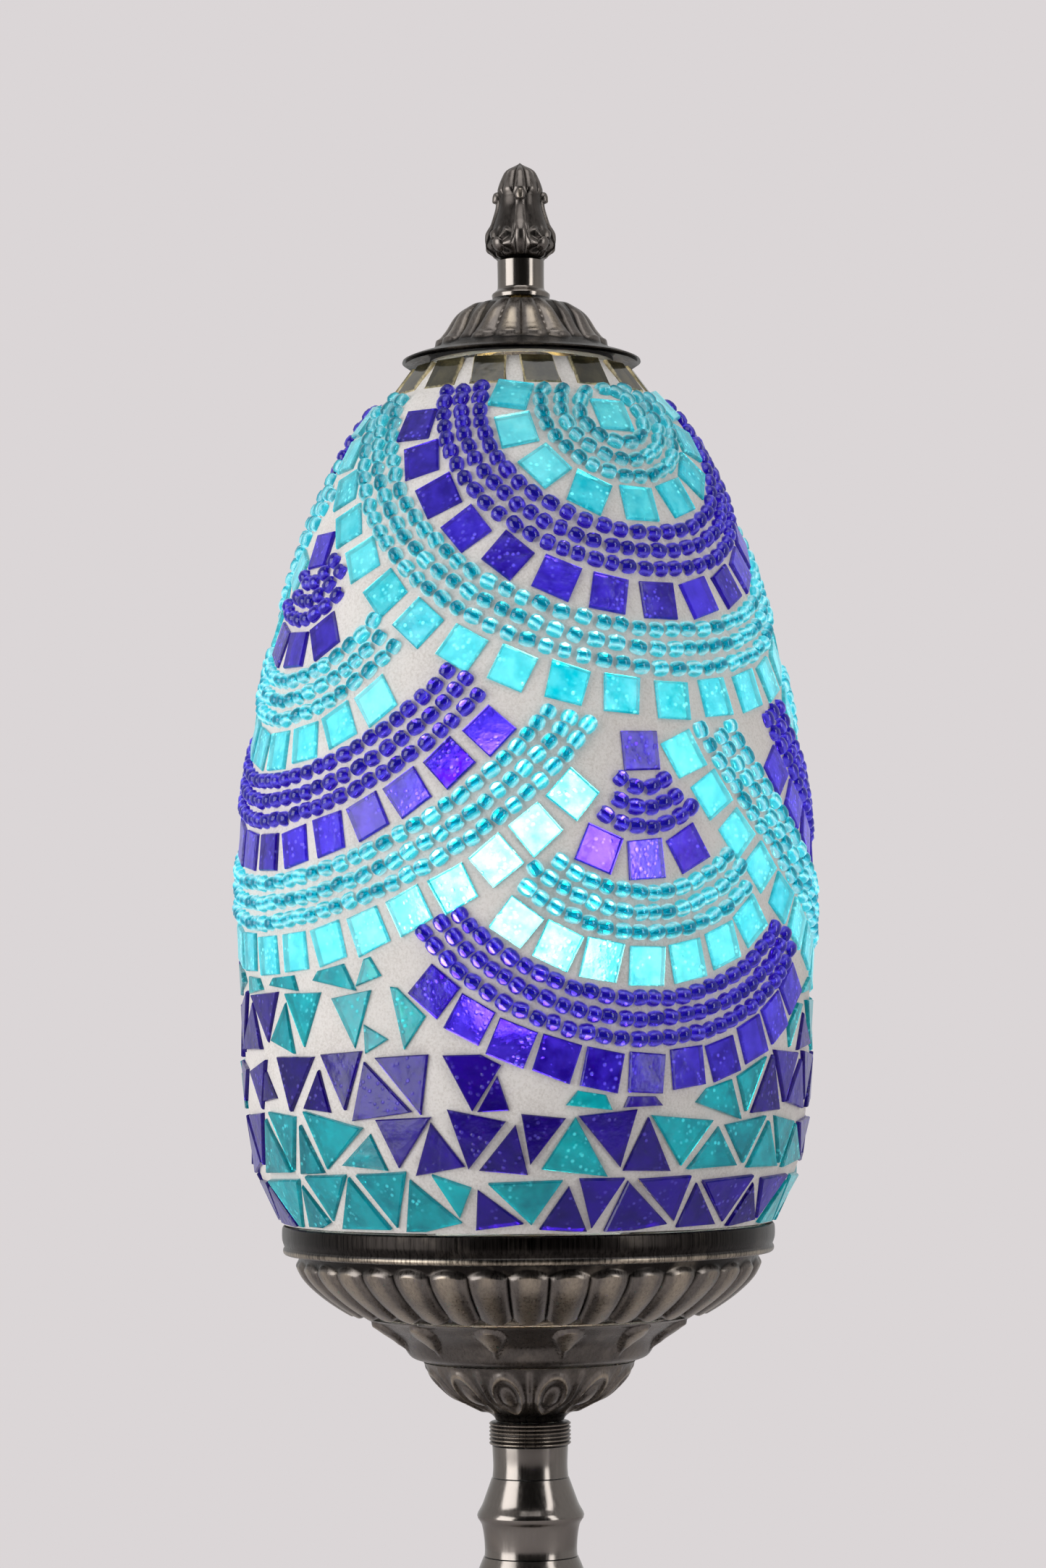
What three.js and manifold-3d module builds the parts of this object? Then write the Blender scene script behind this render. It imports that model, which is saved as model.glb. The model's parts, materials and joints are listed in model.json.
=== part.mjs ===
// Mosaic glass table lamp: a turned metal foot and stem, a gallery of nested cups,
// an open-ended glass shade covered in mosaic, and a pierced cap held down by a finial
// that screws on a harp. Millimetres, +Z up, origin at the centre of the felt's underside.
//
// Every outline below is a list of [radius, height] points, turned about the Z axis.

import * as THREE from 'three';
import * as BufferGeometryUtils from 'three/addons/utils/BufferGeometryUtils.js';
import Module from 'manifold-3d';

const wasm = await Module();
wasm.setup();

// ---------------------------------------------------------------- driving dimensions

const GAP = 0.3; // clearance between pieces that touch
const WALL = 2; // wall of the spun metal cups
const SIDES = { large: 32, medium: 16, small: 12, hex: 6 };

const FELT_TOP = 1.5;
const FOOT_RADIUS = 68.6;
const FOOT_TOP = 12.2;
const BASE_TOP = 62;

const TUBE_RADIUS = 5;
const TUBE_BORE = 3.6;
const TUBE_HOLE = TUBE_RADIUS + GAP;
const TUBE_FOOT = 5;
const TUBE_TOP = 206;

const STEM_TOP = 149.2;
const GALLERY_FLOOR = 178.2; // underside of the gallery bowl's floor
const RIM_RADIUS = 66.3;
const RIM_BASE = 194.6;
const RIM_TOP = 202.2;

const MOSAIC_THICKNESS = 3;
const GLASS_THICKNESS = 2.5;
const GLASS_INSET = MOSAIC_THICKNESS + GAP;
const SHADE_BOTTOM = 198.4; // lower edge of the glass, on its gasket
const SHADE_TOP = 435.6; // upper edge of the glass, under the cap

const SADDLE_TOP = 199.5;
const HARP_HALF_WIDTH = 28; // at the saddle
const HARP_WIRE = 2;
const HARP_FOOT = 207.3;
const HARP_TOP = 441; // centre of the wire at the crown
const FERRULE = { bore: 2.6, radius: 3.8, bottom: 204, length: 10 };

const SOCKET_RIM = 254;
const BULB_TIP = 224.8;
const BULB_RADIUS = 30;
const BULB_CENTRE = 305;

const STUD_RADIUS = 3.175; // quarter inch lamp thread
const STUD_TOP = 466;
const CAP_TOP = 453.1;
const FINIAL_BASE = 464;
const FINIAL_TOP = 491;

const CAP_LOBES = 12;

// ---------------------------------------------------------------- finishes

const FINISHES = {
  bronze: { color: 0x655c58, metalness: 0.9, roughness: 0.38 },
  polished_bronze: { color: 0x6e6562, metalness: 0.95, roughness: 0.18 },
  mosaic: { color: 0x3d49c8, metalness: 0, roughness: 0.2 },
  clear_glass: { color: 0xe8eef0, metalness: 0, roughness: 0.1 },
  bulb_glass: { color: 0xfff4dc, metalness: 0, roughness: 0.2 },
  brass: { color: 0xb08d4a, metalness: 0.9, roughness: 0.3 },
  steel: { color: 0x8f9296, metalness: 0.9, roughness: 0.35 },
  nickel: { color: 0xb9b8b4, metalness: 0.9, roughness: 0.25 },
  iron: { color: 0x3a3a3c, metalness: 0.6, roughness: 0.8 },
  ceramic: { color: 0xe9e5dc, metalness: 0, roughness: 0.5 },
  fibre: { color: 0xa9906a, metalness: 0, roughness: 0.9 },
  rubber: { color: 0x1e1e20, metalness: 0, roughness: 0.8 },
  felt: { color: 0x23402f, metalness: 0, roughness: 1 },
};

const lamp = new THREE.Group();

function add(name, finish, geometry) {
  const mesh = new THREE.Mesh(geometry, new THREE.MeshStandardMaterial(FINISHES[finish]));
  mesh.name = name;
  lamp.add(mesh);
  return mesh;
}

// ---------------------------------------------------------------- outlines

function signedArea(points) {
  return points.reduce((sum, [r, z], i) => {
    const [nextR, nextZ] = points[(i + 1) % points.length];
    return sum + (r * nextZ - nextR * z) / 2;
  }, 0);
}

// A solid of revolution about +Z from an outline that is closed or starts and ends on the axis.
function turned(outline, sides = SIDES.medium) {
  const ordered = signedArea(outline) < 0 ? [...outline].reverse() : [...outline];
  const axisStart = ordered.findIndex(([r], i) => r === 0 && ordered.at(i - 1)[0] === 0);
  const points = [...ordered.slice(axisStart), ...ordered.slice(0, Math.max(axisStart, 0))];
  if (axisStart < 0) {
    points.splice(0, points.length, ...ordered, ordered[0]);
  }
  const profile = points.map(([r, z]) => new THREE.Vector2(r, z));
  return new THREE.LatheGeometry(profile, sides).rotateX(Math.PI / 2);
}

// A smooth open curve through the given [radius, height] points, as evenly spaced points.
function smooth(points, count) {
  const curve = new THREE.SplineCurve(points.map(([r, z]) => new THREE.Vector2(r, z)));
  return curve.getSpacedPoints(count).map((p) => [p.x, p.y]);
}

// The same open curve moved sideways by a distance, to the right of its direction.
function offset(points, distance) {
  return points.map(([r, z], i) => {
    const [r0, z0] = points[Math.max(i - 1, 0)];
    const [r1, z1] = points[Math.min(i + 1, points.length - 1)];
    const length = Math.hypot(r1 - r0, z1 - z0);
    return [r + (distance * (z1 - z0)) / length, z - (distance * (r1 - r0)) / length];
  });
}

// The same curve moved inwards, with both ends left at their own height.
function lining(outer, thickness) {
  const inner = offset(outer, -thickness);
  const levelEnd = ([r, z], [r1, z1]) => [r - (thickness * Math.hypot(r1 - r, z1 - z)) / Math.abs(z1 - z), z];
  inner[0] = levelEnd(outer[0], outer[1]);
  inner[inner.length - 1] = levelEnd(outer.at(-1), outer.at(-2));
  return inner;
}

// A closed band between an outer curve that runs upwards and its lining.
function band(outer, thickness) {
  return [...outer, ...lining(outer, thickness).reverse()];
}

// A cup open at its wide end: the outside runs from the tube's hole to the rim.
function cup(outside) {
  const [holeR, holeZ] = outside[0];
  const [rimR, rimZ] = outside.at(-1);
  const inside = outside.slice(1, -1).map(([r, z]) => [r - WALL, z + WALL * 0.6]);
  const innerFloor = [holeR, holeZ + WALL];
  return [...outside, [rimR - WALL, rimZ], ...inside.reverse(), innerFloor];
}

function ring(innerRadius, outerRadius, bottom, top) {
  return [[innerRadius, bottom], [outerRadius, bottom], [outerRadius, top], [innerRadius, top]];
}

function disc(radius, bottom, top) {
  return [[0, bottom], [radius, bottom], [radius, top], [0, top]];
}

// Pulls the valleys between lobes inwards; depth(r, z) gives how deep they are.
function lobed(geometry, lobes, depth) {
  const position = geometry.attributes.position;
  for (let i = 0; i < position.count; i += 1) {
    const x = position.getX(i);
    const y = position.getY(i);
    const radius = Math.hypot(x, y);
    const valley = (1 - Math.cos(Math.atan2(x, -y) * lobes)) / 2;
    const scale = radius > 0 ? 1 - (valley * depth(radius, position.getZ(i))) / radius : 1;
    position.setXY(i, x * scale, y * scale);
  }
  geometry.computeVertexNormals();
  return geometry;
}

// ---------------------------------------------------------------- booleans

function toSolid(geometry) {
  const bare = geometry.index ? geometry.clone() : geometry;
  bare.deleteAttribute('normal');
  bare.deleteAttribute('uv');
  const merged = BufferGeometryUtils.mergeVertices(bare, 1e-4);
  const vertProperties = new Float32Array(merged.attributes.position.array);
  const triVerts = new Uint32Array(merged.index.array);
  return new wasm.Manifold(new wasm.Mesh({ numProp: 3, vertProperties, triVerts }));
}

function toGeometry(solid) {
  const { numProp, vertProperties, triVerts } = solid.getMesh();
  const positions = new Float32Array((vertProperties.length / numProp) * 3);
  for (let i = 0; i < positions.length / 3; i += 1) {
    positions.set(vertProperties.subarray(i * numProp, i * numProp + 3), i * 3);
  }
  const geometry = new THREE.BufferGeometry();
  geometry.setAttribute('position', new THREE.BufferAttribute(positions, 3));
  geometry.setIndex(new THREE.BufferAttribute(new Uint32Array(triVerts), 1));
  geometry.computeVertexNormals();
  return geometry;
}

function cylinderAlongY(radius, y0, y1, x, z, sides = SIDES.small) {
  return new THREE.CylinderGeometry(radius, radius, y1 - y0, sides).translate(x, (y0 + y1) / 2, z);
}

function cylinderAlongZ(radius, z0, z1, x = 0, y = 0, sides = SIDES.small) {
  return new THREE.CylinderGeometry(radius, radius, z1 - z0, sides)
    .rotateX(Math.PI / 2)
    .translate(x, y, (z0 + z1) / 2);
}

// ---------------------------------------------------------------- foot

const WEIGHT = { radius: 56, bottom: 4.3, recess: 15, recessTop: 11 };
const PLATE = { radius: 65, bottom: FELT_TOP + GAP, top: 3.6 };
const SCREW_CIRCLE = 36;
const INLET = { height: 7.3, hole: 3.7, bush: 3.4, bore: 2.7 }; // takes a flat two-core lead

function footBand() {
  const outline = [
    [FOOT_RADIUS - 3, 2], [FOOT_RADIUS - 0.8, 2], [FOOT_RADIUS, 3.4], [FOOT_RADIUS, 10.8],
    [FOOT_RADIUS - 0.8, FOOT_TOP], [60, FOOT_TOP], [60, FOOT_TOP - WALL], [FOOT_RADIUS - 3, FOOT_TOP - WALL],
  ];
  const inlet = cylinderAlongY(INLET.hole, 55, 80, 0, INLET.height);
  return toGeometry(toSolid(turned(outline, SIDES.large)).subtract(toSolid(inlet)));
}

// The gadrooned skirt, the smooth tier and the petalled crown that cover the cast weight.
const SKIRT = [[67.6, FOOT_TOP + GAP], [66.6, 18], [61.6, 26], [55.4, 31], [52.2, 33.2]];
const FOOT_TIER = [[52, 33.5], [47, 36], [42, 39.6], [38, 43], [34.4, 45.4]];
const CROWN = [[34.2, 45.7], [32.4, 49.4], [28.6, 53.2], [23.4, 57], [18, 60], [13.4, BASE_TOP]];

function addFoot() {
  add('felt_pad', 'felt', turned(disc(PLATE.radius - 1, 0, FELT_TOP), SIDES.large));
  const plate = toSolid(turned(disc(PLATE.radius, PLATE.bottom, PLATE.top), SIDES.large));
  const weight = toSolid(turned([
    [TUBE_HOLE, WEIGHT.recessTop], [WEIGHT.recess, WEIGHT.recessTop], [WEIGHT.recess, WEIGHT.bottom],
    [WEIGHT.radius, WEIGHT.bottom], [WEIGHT.radius, 14], [50, 27], [28, 36], [TUBE_HOLE, 38],
  ], SIDES.large));
  const holes = [];
  for (let i = 0; i < 3; i += 1) {
    const angle = (i * 2 * Math.PI) / 3 + Math.PI / 6;
    const x = SCREW_CIRCLE * Math.cos(angle);
    const y = SCREW_CIRCLE * Math.sin(angle);
    holes.push(toSolid(cylinderAlongZ(2 + GAP, 0, WEIGHT.bottom + 12, x, y)));
    const shank = toSolid(cylinderAlongZ(2, PLATE.bottom + 0.4, WEIGHT.bottom + 10, x, y));
    const head = toSolid(cylinderAlongZ(3.6, PLATE.bottom + 0.2, PLATE.bottom + 1, x, y));
    holes.push(toSolid(cylinderAlongZ(3.6 + GAP, 0, PLATE.bottom + 1 + GAP, x, y)));
    add(`plate_screw_${i + 1}`, 'steel', toGeometry(shank.add(head)));
  }
  const drill = (solid) => toGeometry(holes.reduce((left, hole) => left.subtract(hole), solid));
  add('bottom_plate', 'steel', drill(plate));
  add('base_weight', 'iron', drill(weight));
  add('foot_band', 'bronze', footBand());
  add('foot_skirt', 'bronze', turned(band(SKIRT, WALL), SIDES.large));
  add('foot_tier', 'bronze', turned(band(FOOT_TIER, WALL)));
  const crownTop = [[TUBE_HOLE, BASE_TOP], [TUBE_HOLE, BASE_TOP - WALL]];
  const crownLining = lining(CROWN, WALL).slice(0, -1).reverse();
  add('foot_crown', 'bronze', turned([...CROWN, ...crownTop, ...crownLining]));
  add('inlet_bushing', 'rubber', inletBushing());
}

// The lead's inlet at the back: a flanged bush through the foot's band.
function inletBushing() {
  const { bush, bore, height } = INLET;
  const face = FOOT_RADIUS + GAP;
  const outline = [[bore, 62], [bush, 62], [bush, face], [4.6, face], [3.9, face + 2.4], [bore, face + 2.4]];
  return turned(outline, SIDES.small).rotateX(-Math.PI / 2).translate(0, 0, height);
}

// ---------------------------------------------------------------- stem

const COLLAR_BOTTOM = 143;
const COLLAR_GROOVES = 6;

function grooveOutline() {
  const pitch = (STEM_TOP - COLLAR_BOTTOM - 1) / COLLAR_GROOVES;
  const points = [[TUBE_HOLE, COLLAR_BOTTOM], [10.4, COLLAR_BOTTOM]];
  for (let i = 0; i < COLLAR_GROOVES; i += 1) {
    const z = COLLAR_BOTTOM + 0.3 + i * pitch;
    points.push([11, z + pitch * 0.3], [10.5, z + pitch * 0.8]);
  }
  return [...points, [11, STEM_TOP - 0.7], [10.4, STEM_TOP], [TUBE_HOLE, STEM_TOP]];
}

function addStem() {
  add('threaded_tube', 'steel', turned(ring(TUBE_BORE, TUBE_RADIUS, TUBE_FOOT, TUBE_TOP), SIDES.small));
  add('foot_nut', 'steel', hexNut(5.2, 9.2));
  add('foot_washer', 'steel', turned(ring(TUBE_HOLE, 12, 9.5, 10.7), SIDES.medium));
  const segments = {
    stem_foot: [[13, BASE_TOP + GAP], [13.4, 66], [15.6, 69.6], [19.2, 73], [20.8, 76], [19.2, 79.6],
      [16.6, 86], [14.9, 91.2]],
    stem_lower: [[14.8, 91.5], [15, 94.5], [16, 98], [17.4, 100.6], [16, 104.5], [14, 110.1], [12.7, 113.2]],
    stem_middle: [[12.5, 113.5], [12.4, 115.1], [12.6, 118.5], [13.2, 121.9], [14.4, 124.2], [13, 127.1],
      [11.7, 130.6], [10.4, 134.2]],
    stem_upper: [[10.2, 134.5], [10, 137.5], [10.2, COLLAR_BOTTOM - GAP]],
  };
  for (const [name, outside] of Object.entries(segments)) {
    const [, bottom] = outside[0];
    const [, top] = outside.at(-1);
    add(name, 'polished_bronze', turned([...outside, [TUBE_HOLE, top], [TUBE_HOLE, bottom]]));
  }
  add('stem_collar', 'bronze', turned(grooveOutline()));
}

// A hexagon nut bored for the threaded tube.
function hexNut(bottom, top) {
  const height = top - bottom;
  const body = toSolid(new THREE.CylinderGeometry(9.2, 9.2, height, SIDES.hex).rotateX(Math.PI / 2));
  const bore = toSolid(cylinderAlongZ(TUBE_HOLE, -height, height));
  return toGeometry(body.subtract(bore)).translate(0, 0, (bottom + top) / 2);
}

// ---------------------------------------------------------------- gallery

const LOWER_CUP = [
  [TUBE_HOLE, STEM_TOP + GAP], [9, STEM_TOP + GAP], [10.7, 151.4], [16.8, 154.6], [21.2, 156.8],
  [25.6, 161], [28.5, 165.3],
];
const MIDDLE_CUP = [
  [TUBE_HOLE, 165.6], [28.6, 165.6], [32.1, 167.1], [35.2, 171.7], [39.8, 175], [44, 177.9],
];
const BOWL = [
  [TUBE_HOLE, GALLERY_FLOOR], [44.2, GALLERY_FLOOR], [49.1, 180.4], [56, 184.8], [61, 189.6],
  [62.9, RIM_BASE - GAP],
];

function addGallery() {
  add('lower_cup', 'bronze', turned(cup(LOWER_CUP)));
  add('middle_cup', 'bronze', turned(cup(MIDDLE_CUP)));
  add('gallery_bowl', 'bronze', turned(cup(BOWL), SIDES.large));
  add('gallery_rim', 'bronze', turned([
    [56, RIM_BASE], [65.4, RIM_BASE], [RIM_RADIUS, RIM_BASE + 1.6], [RIM_RADIUS, RIM_TOP],
    [64, RIM_TOP], [64, RIM_BASE + 2.2], [56, RIM_BASE + 2.2],
  ], SIDES.large));
  add('seat_gasket', 'rubber', turned(ring(58, 63.6, RIM_BASE + 2.5, SHADE_BOTTOM - GAP), SIDES.large));
  add('gallery_washer', 'steel', turned(ring(TUBE_HOLE, 12, 180.5, 181.9)));
}

// ---------------------------------------------------------------- shade

// The mosaic's outer surface, from the rim band up to the cap, bellied like a pear.
const SHADE_BANDS = {
  mosaic_skirt: { steps: 2, curve: [[66.3, RIM_TOP + GAP], [69.9, 210.2], [73.6, 219.9], [76.3, 240]] },
  mosaic_waves: {
    steps: 8,
    curve: [
      [76.3, 240], [76.8, 262], [77.6, 288], [76.6, 310], [74.3, 327.5], [70.6, 347.2], [65.8, 367],
      [59.4, 386.7], [51, 406.5], [42, 421], [35.4, 426.4],
    ],
  },
  mosaic_crown: { steps: 1, curve: [[35.4, 426.4], [31.4, 431.3], [29.4, 433.9]] },
};
const GLASS_FOOT = 62.6; // outer radius of the glass inside the rim
const GLASS_NECK = 24.4; // and at its upper edge

function addShade() {
  const surface = [];
  for (const [name, { steps, curve }] of Object.entries(SHADE_BANDS)) {
    const outer = smooth(curve, steps);
    surface.push(...outer.slice(surface.length ? 1 : 0));
    add(name, 'mosaic', turned(parted(outer), SIDES.large));
  }
  const belly = offset(surface, -GLASS_INSET).slice(1, -2);
  const foot = [[GLASS_FOOT, SHADE_BOTTOM], [GLASS_FOOT, RIM_TOP + GAP]];
  const neck = [[30.9, 426.6], [GLASS_NECK, 434.2], [GLASS_NECK, SHADE_TOP]];
  const outside = [...foot, ...belly, ...neck];
  add('shade_glass', 'clear_glass', turned(band(outside, GLASS_THICKNESS), SIDES.large));
}

// One band of mosaic, shortened at its upper end so that it clears the next band.
function parted(curve) {
  const outer = [...curve];
  const [r, z] = outer.at(-1);
  const [r0, z0] = outer.at(-2);
  const keep = 1 - GAP / Math.hypot(r - r0, z - z0);
  outer[outer.length - 1] = [r0 + (r - r0) * keep, z0 + (z - z0) * keep];
  return band(outer, MOSAIC_THICKNESS);
}

// ---------------------------------------------------------------- harp and lampholder

function addHarp() {
  const sleeve = [[TUBE_HOLE, 187.3], [7.4, 187.3], [7.4, 197.7], [TUBE_HOLE, 197.7]];
  add('socket_spacer', 'brass', turned(sleeve, SIDES.small));
  add('harp_saddle', 'steel', harpSaddle());
  add('harp_loop', 'brass', harpLoop());
  for (const [side, x] of [['left', -HARP_HALF_WIDTH], ['right', HARP_HALF_WIDTH]]) {
    const { bore, radius, bottom, length } = FERRULE;
    add(`harp_ferrule_${side}`, 'brass', turned(ring(bore, radius, bottom, bottom + length), SIDES.small))
      .position.set(x, 0, 0);
  }
  const seat = HARP_TOP + HARP_WIRE + GAP;
  add('harp_stud', 'brass', turned([
    [0, seat], [5, seat], [5, seat + 1.6], [STUD_RADIUS, seat + 2.4], [STUD_RADIUS, STUD_TOP - 0.8],
    [STUD_RADIUS - 0.8, STUD_TOP], [0, STUD_TOP],
  ], SIDES.small));
}

// A flat strip across the tube, turned up at both ends, with a peg for each harp leg.
function harpSaddle() {
  const half = HARP_HALF_WIDTH;
  const strip = new THREE.Shape([
    [-half - 0.8, 204 - GAP], [-half - 0.8, 201], [-half + 3, 198], [half - 3, 198], [half + 0.8, 201],
    [half + 0.8, 204 - GAP], [half - 0.8, 204 - GAP], [half - 0.8, 201.6], [half - 3.6, SADDLE_TOP],
    [-half + 3.6, SADDLE_TOP], [-half + 0.8, 201.6], [-half + 0.8, 204 - GAP],
  ].map(([x, z]) => new THREE.Vector2(x, z)));
  const width = 16;
  const solid = new THREE.ExtrudeGeometry(strip, { depth: width, bevelEnabled: false })
    .rotateX(Math.PI / 2)
    .translate(0, width / 2, 0);
  const pegs = [-half, half].map((x) => toSolid(cylinderAlongZ(2, 202.5, HARP_FOOT - GAP, x)));
  const hole = toSolid(cylinderAlongZ(TUBE_HOLE, 190, 210, 0, 0));
  return toGeometry(toSolid(solid).add(pegs[0]).add(pegs[1]).subtract(hole));
}

function harpLoop() {
  const half = [
    [HARP_HALF_WIDTH, HARP_FOOT], [HARP_HALF_WIDTH, 218], [HARP_HALF_WIDTH, 230], [36, 256], [43, 290],
    [44, 325], [38.5, 365], [27, 405], [17, 430],
  ];
  const right = half.map(([x, z]) => new THREE.Vector3(x, 0, z));
  const left = half.map(([x, z]) => new THREE.Vector3(-x, 0, z)).reverse();
  const crown = [10, 0, -10].map((x) => new THREE.Vector3(x, 0, x === 0 ? HARP_TOP : HARP_TOP - 1.4));
  const path = new THREE.CatmullRomCurve3([...right, ...crown, ...left]);
  const section = new THREE.Shape().absarc(0, 0, HARP_WIRE, 0, 2 * Math.PI);
  return new THREE.ExtrudeGeometry(section, { steps: 40, curveSegments: 4, extrudePath: path });
}

function addLampholder() {
  add('gallery_nut', 'steel', hexNut(182.2, 187));
  add('socket_cap', 'brass', turned([
    [TUBE_HOLE, SADDLE_TOP + GAP], [7.2, SADDLE_TOP + GAP], [7.2, 204], [13, 206.5], [16.6, 211], [17, 218],
    [15.6, 218], [15.4, 212], [12.2, 208.2], [TUBE_HOLE, 206.4],
  ]));
  add('socket_core', 'ceramic', turned(disc(14.6, 213, 221)));
  add('socket_contact', 'brass', turned([[0, 221.3], [4, 221.3], [3, 223.6], [0, BULB_TIP - GAP]], SIDES.small));
  add('socket_thread', 'brass', turned([
    [6, 222.4], [14.4, 222.4], [14.4, 249], [13.5, 249], [13.5, 223.4], [6, 223.4],
  ]));
  add('socket_liner', 'fibre', turned(ring(14.7, 15.5, 221.4, 252)));
  add('socket_shell', 'brass', turned([
    [15.9, 218.3], [17, 218.3], [17, 249.6], [17.8, 251.4], [17.8, SOCKET_RIM], [16.6, SOCKET_RIM], [15.9, 251.4],
  ]));
}

// ---------------------------------------------------------------- bulb

function addBulb() {
  const neck = BULB_TIP + 27.2; // upper edge of the screw cap
  add('bulb_contact', 'steel', turned([[0, BULB_TIP], [3, BULB_TIP], [3.6, BULB_TIP + 1.4], [0, BULB_TIP + 1.4]]));
  add('bulb_cap', 'nickel', turned([
    [0, 226.5], [8.6, 226.5], [12.9, 230], [12.9, neck], [12.2, neck], [12.2, 230.6], [8.2, 227.6], [0, 227.6],
  ]));
  const globe = smooth([
    [13.2, 257], [16.6, 266], [24.4, 281], [29.2, 294], [BULB_RADIUS, BULB_CENTRE],
    [26.6, 319], [18, 329], [8, 334], [0, BULB_CENTRE + BULB_RADIUS],
  ], 8);
  const outside = [[11.6, 236], [11.6, neck + GAP], ...globe];
  const inside = offset(outside, -0.8);
  inside[inside.length - 1] = [0, BULB_CENTRE + BULB_RADIUS - 0.8];
  add('bulb_glass', 'bulb_glass', turned([...outside, ...inside.reverse()]));
  add('bulb_mount', 'clear_glass', turned([
    [0, 229], [9, 229], [9, 240], [4, 250], [3, 286], [5, 292], [5, 318], [0, 320],
  ], SIDES.small));
}

// ---------------------------------------------------------------- cap and finial

function addCap() {
  add('cap_gasket', 'rubber', turned(ring(20.4, 25, SHADE_TOP + GAP, 436.9), SIDES.large));
  const hole = STUD_RADIUS + 0.45;
  const shell = turned([
    [hole, CAP_TOP], [13.4, 452], [15.3, 450.3], [19.1, 444.7], [20.5, 442.7], [22.5, 440.7], [27.6, 438.4],
    [32.5, 435.9], [32.3, 434.9], [28.2, 437.2], [20, 437.2], [17.2, 443], [13.4, 449.4], [hole, 450.6],
  ], CAP_LOBES * 2);
  const depth = (r, z) => (r > 12 && z > 442.5 && z < 452.5 ? 0.9 : 0);
  add('top_cap', 'bronze', lobed(shell, CAP_LOBES, depth));
}

function addFinial() {
  add('finial_insert', 'brass', turned([
    [0, 474], [4.6, 474], [4.6, 457], [3.6, 457], [3.6, 471], [0, 471],
  ], SIDES.small));
  add('finial_neck', 'bronze', turned([
    [5.1, CAP_TOP + GAP], [7.8, CAP_TOP + GAP], [7.8, 454.4], [6.6, 456.4], [6.4, 457.2],
    [6.4, FINIAL_BASE - GAP], [5.1, FINIAL_BASE - GAP],
  ]));
  const acorn = turned([
    [5.1, FINIAL_BASE], [6.8, FINIAL_BASE], [8.3, 465.6], [9.8, 468.4], [9.3, 470.7], [7.9, 474.2], [6.3, 478.3],
    [7.4, 481.7], [5.7, 483.4], [4.9, 485.9], [3.3, 488.5], [0, FINIAL_TOP], [0, 475], [5.1, 475],
  ]);
  add('finial', 'bronze', acorn);
}

addFoot();
addStem();
addGallery();
addShade();
addHarp();
addLampholder();
addBulb();
addCap();
addFinial();

export default lamp;
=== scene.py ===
"""Looks of the mosaic glass table lamp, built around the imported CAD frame.

Sizes are in millimetres and become metres where a mesh is made. An azimuth is measured from the
front (-Y) towards +X. "Climb" is the distance along the shade's surface, up from its lower edge.
"""

import json
import random
from functools import partial
from math import cos, hypot, pi, radians, sin

import bmesh
import bpy
import numpy as np
from mathutils import Matrix, Vector
from mathutils.geometry import delaunay_2d_cdt


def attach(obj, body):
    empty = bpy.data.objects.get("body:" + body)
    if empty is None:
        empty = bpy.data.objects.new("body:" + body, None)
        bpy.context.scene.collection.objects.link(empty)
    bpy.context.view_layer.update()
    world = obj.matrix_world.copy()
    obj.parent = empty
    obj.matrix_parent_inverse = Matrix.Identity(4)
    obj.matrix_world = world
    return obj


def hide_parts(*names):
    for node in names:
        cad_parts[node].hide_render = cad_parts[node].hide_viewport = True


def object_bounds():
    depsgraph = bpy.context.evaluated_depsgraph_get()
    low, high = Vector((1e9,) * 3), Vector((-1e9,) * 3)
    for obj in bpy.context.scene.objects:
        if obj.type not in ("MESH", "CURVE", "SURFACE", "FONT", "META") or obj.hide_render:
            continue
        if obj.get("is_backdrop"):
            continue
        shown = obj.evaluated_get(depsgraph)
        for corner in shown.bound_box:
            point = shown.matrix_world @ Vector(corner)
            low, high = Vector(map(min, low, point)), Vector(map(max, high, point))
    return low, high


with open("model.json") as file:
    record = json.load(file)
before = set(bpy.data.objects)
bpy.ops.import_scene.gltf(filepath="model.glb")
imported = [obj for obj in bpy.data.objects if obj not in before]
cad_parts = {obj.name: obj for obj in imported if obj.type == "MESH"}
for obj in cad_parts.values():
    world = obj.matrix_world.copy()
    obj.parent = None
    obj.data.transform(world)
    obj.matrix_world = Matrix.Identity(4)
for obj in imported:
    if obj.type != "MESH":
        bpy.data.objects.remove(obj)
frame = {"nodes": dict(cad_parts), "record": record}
cad_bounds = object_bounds()

MM = 0.001
TURN = 2 * pi
rng = random.Random(1905)


# ---- outlines and meshes


def smooth(points, step=0.8):
    """Points about `step` mm apart on a Catmull-Rom curve through `points`."""
    knots = [Vector(p) for p in points]
    ends = [2 * knots[0] - knots[1]] + knots + [2 * knots[-1] - knots[-2]]
    curve = []
    for before, start, end, after in zip(ends, ends[1:], ends[2:], ends[3:]):
        count = max(1, round((end - start).length / step))
        for i in range(count):
            t = i / count
            spread = (end - before) * t
            bend = (2 * before - 5 * start + 4 * end - after) * t**2
            twist = (3 * start - before - 3 * end + after) * t**3
            curve.append(tuple(start + 0.5 * (spread + bend + twist)))
    return curve + [tuple(knots[-1])]


def pairs(items):
    """Each item with the next one, the last with the first."""
    items = list(items)
    return list(zip(items, items[1:] + items[:1]))


def neighbours(items):
    """Each item with the next one, as far as there is a next one."""
    return list(zip(items, items[1:]))


def quads(strips, rungs):
    """Faces between strips of vertices, from pairs of first vertices and pairs of places in a strip."""
    return [(i + j, n + j, n + k, i + k) for i, n in strips for j, k in rungs]


def outward(path):
    """Unit normals of an outline that runs upwards with the axis on its inner side."""
    path = np.array(path, float)
    tangent = np.gradient(path, axis=0)
    tangent /= np.linalg.norm(tangent, axis=1)[:, None]
    return np.stack([tangent[:, 1], -tangent[:, 0]], axis=1)


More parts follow.
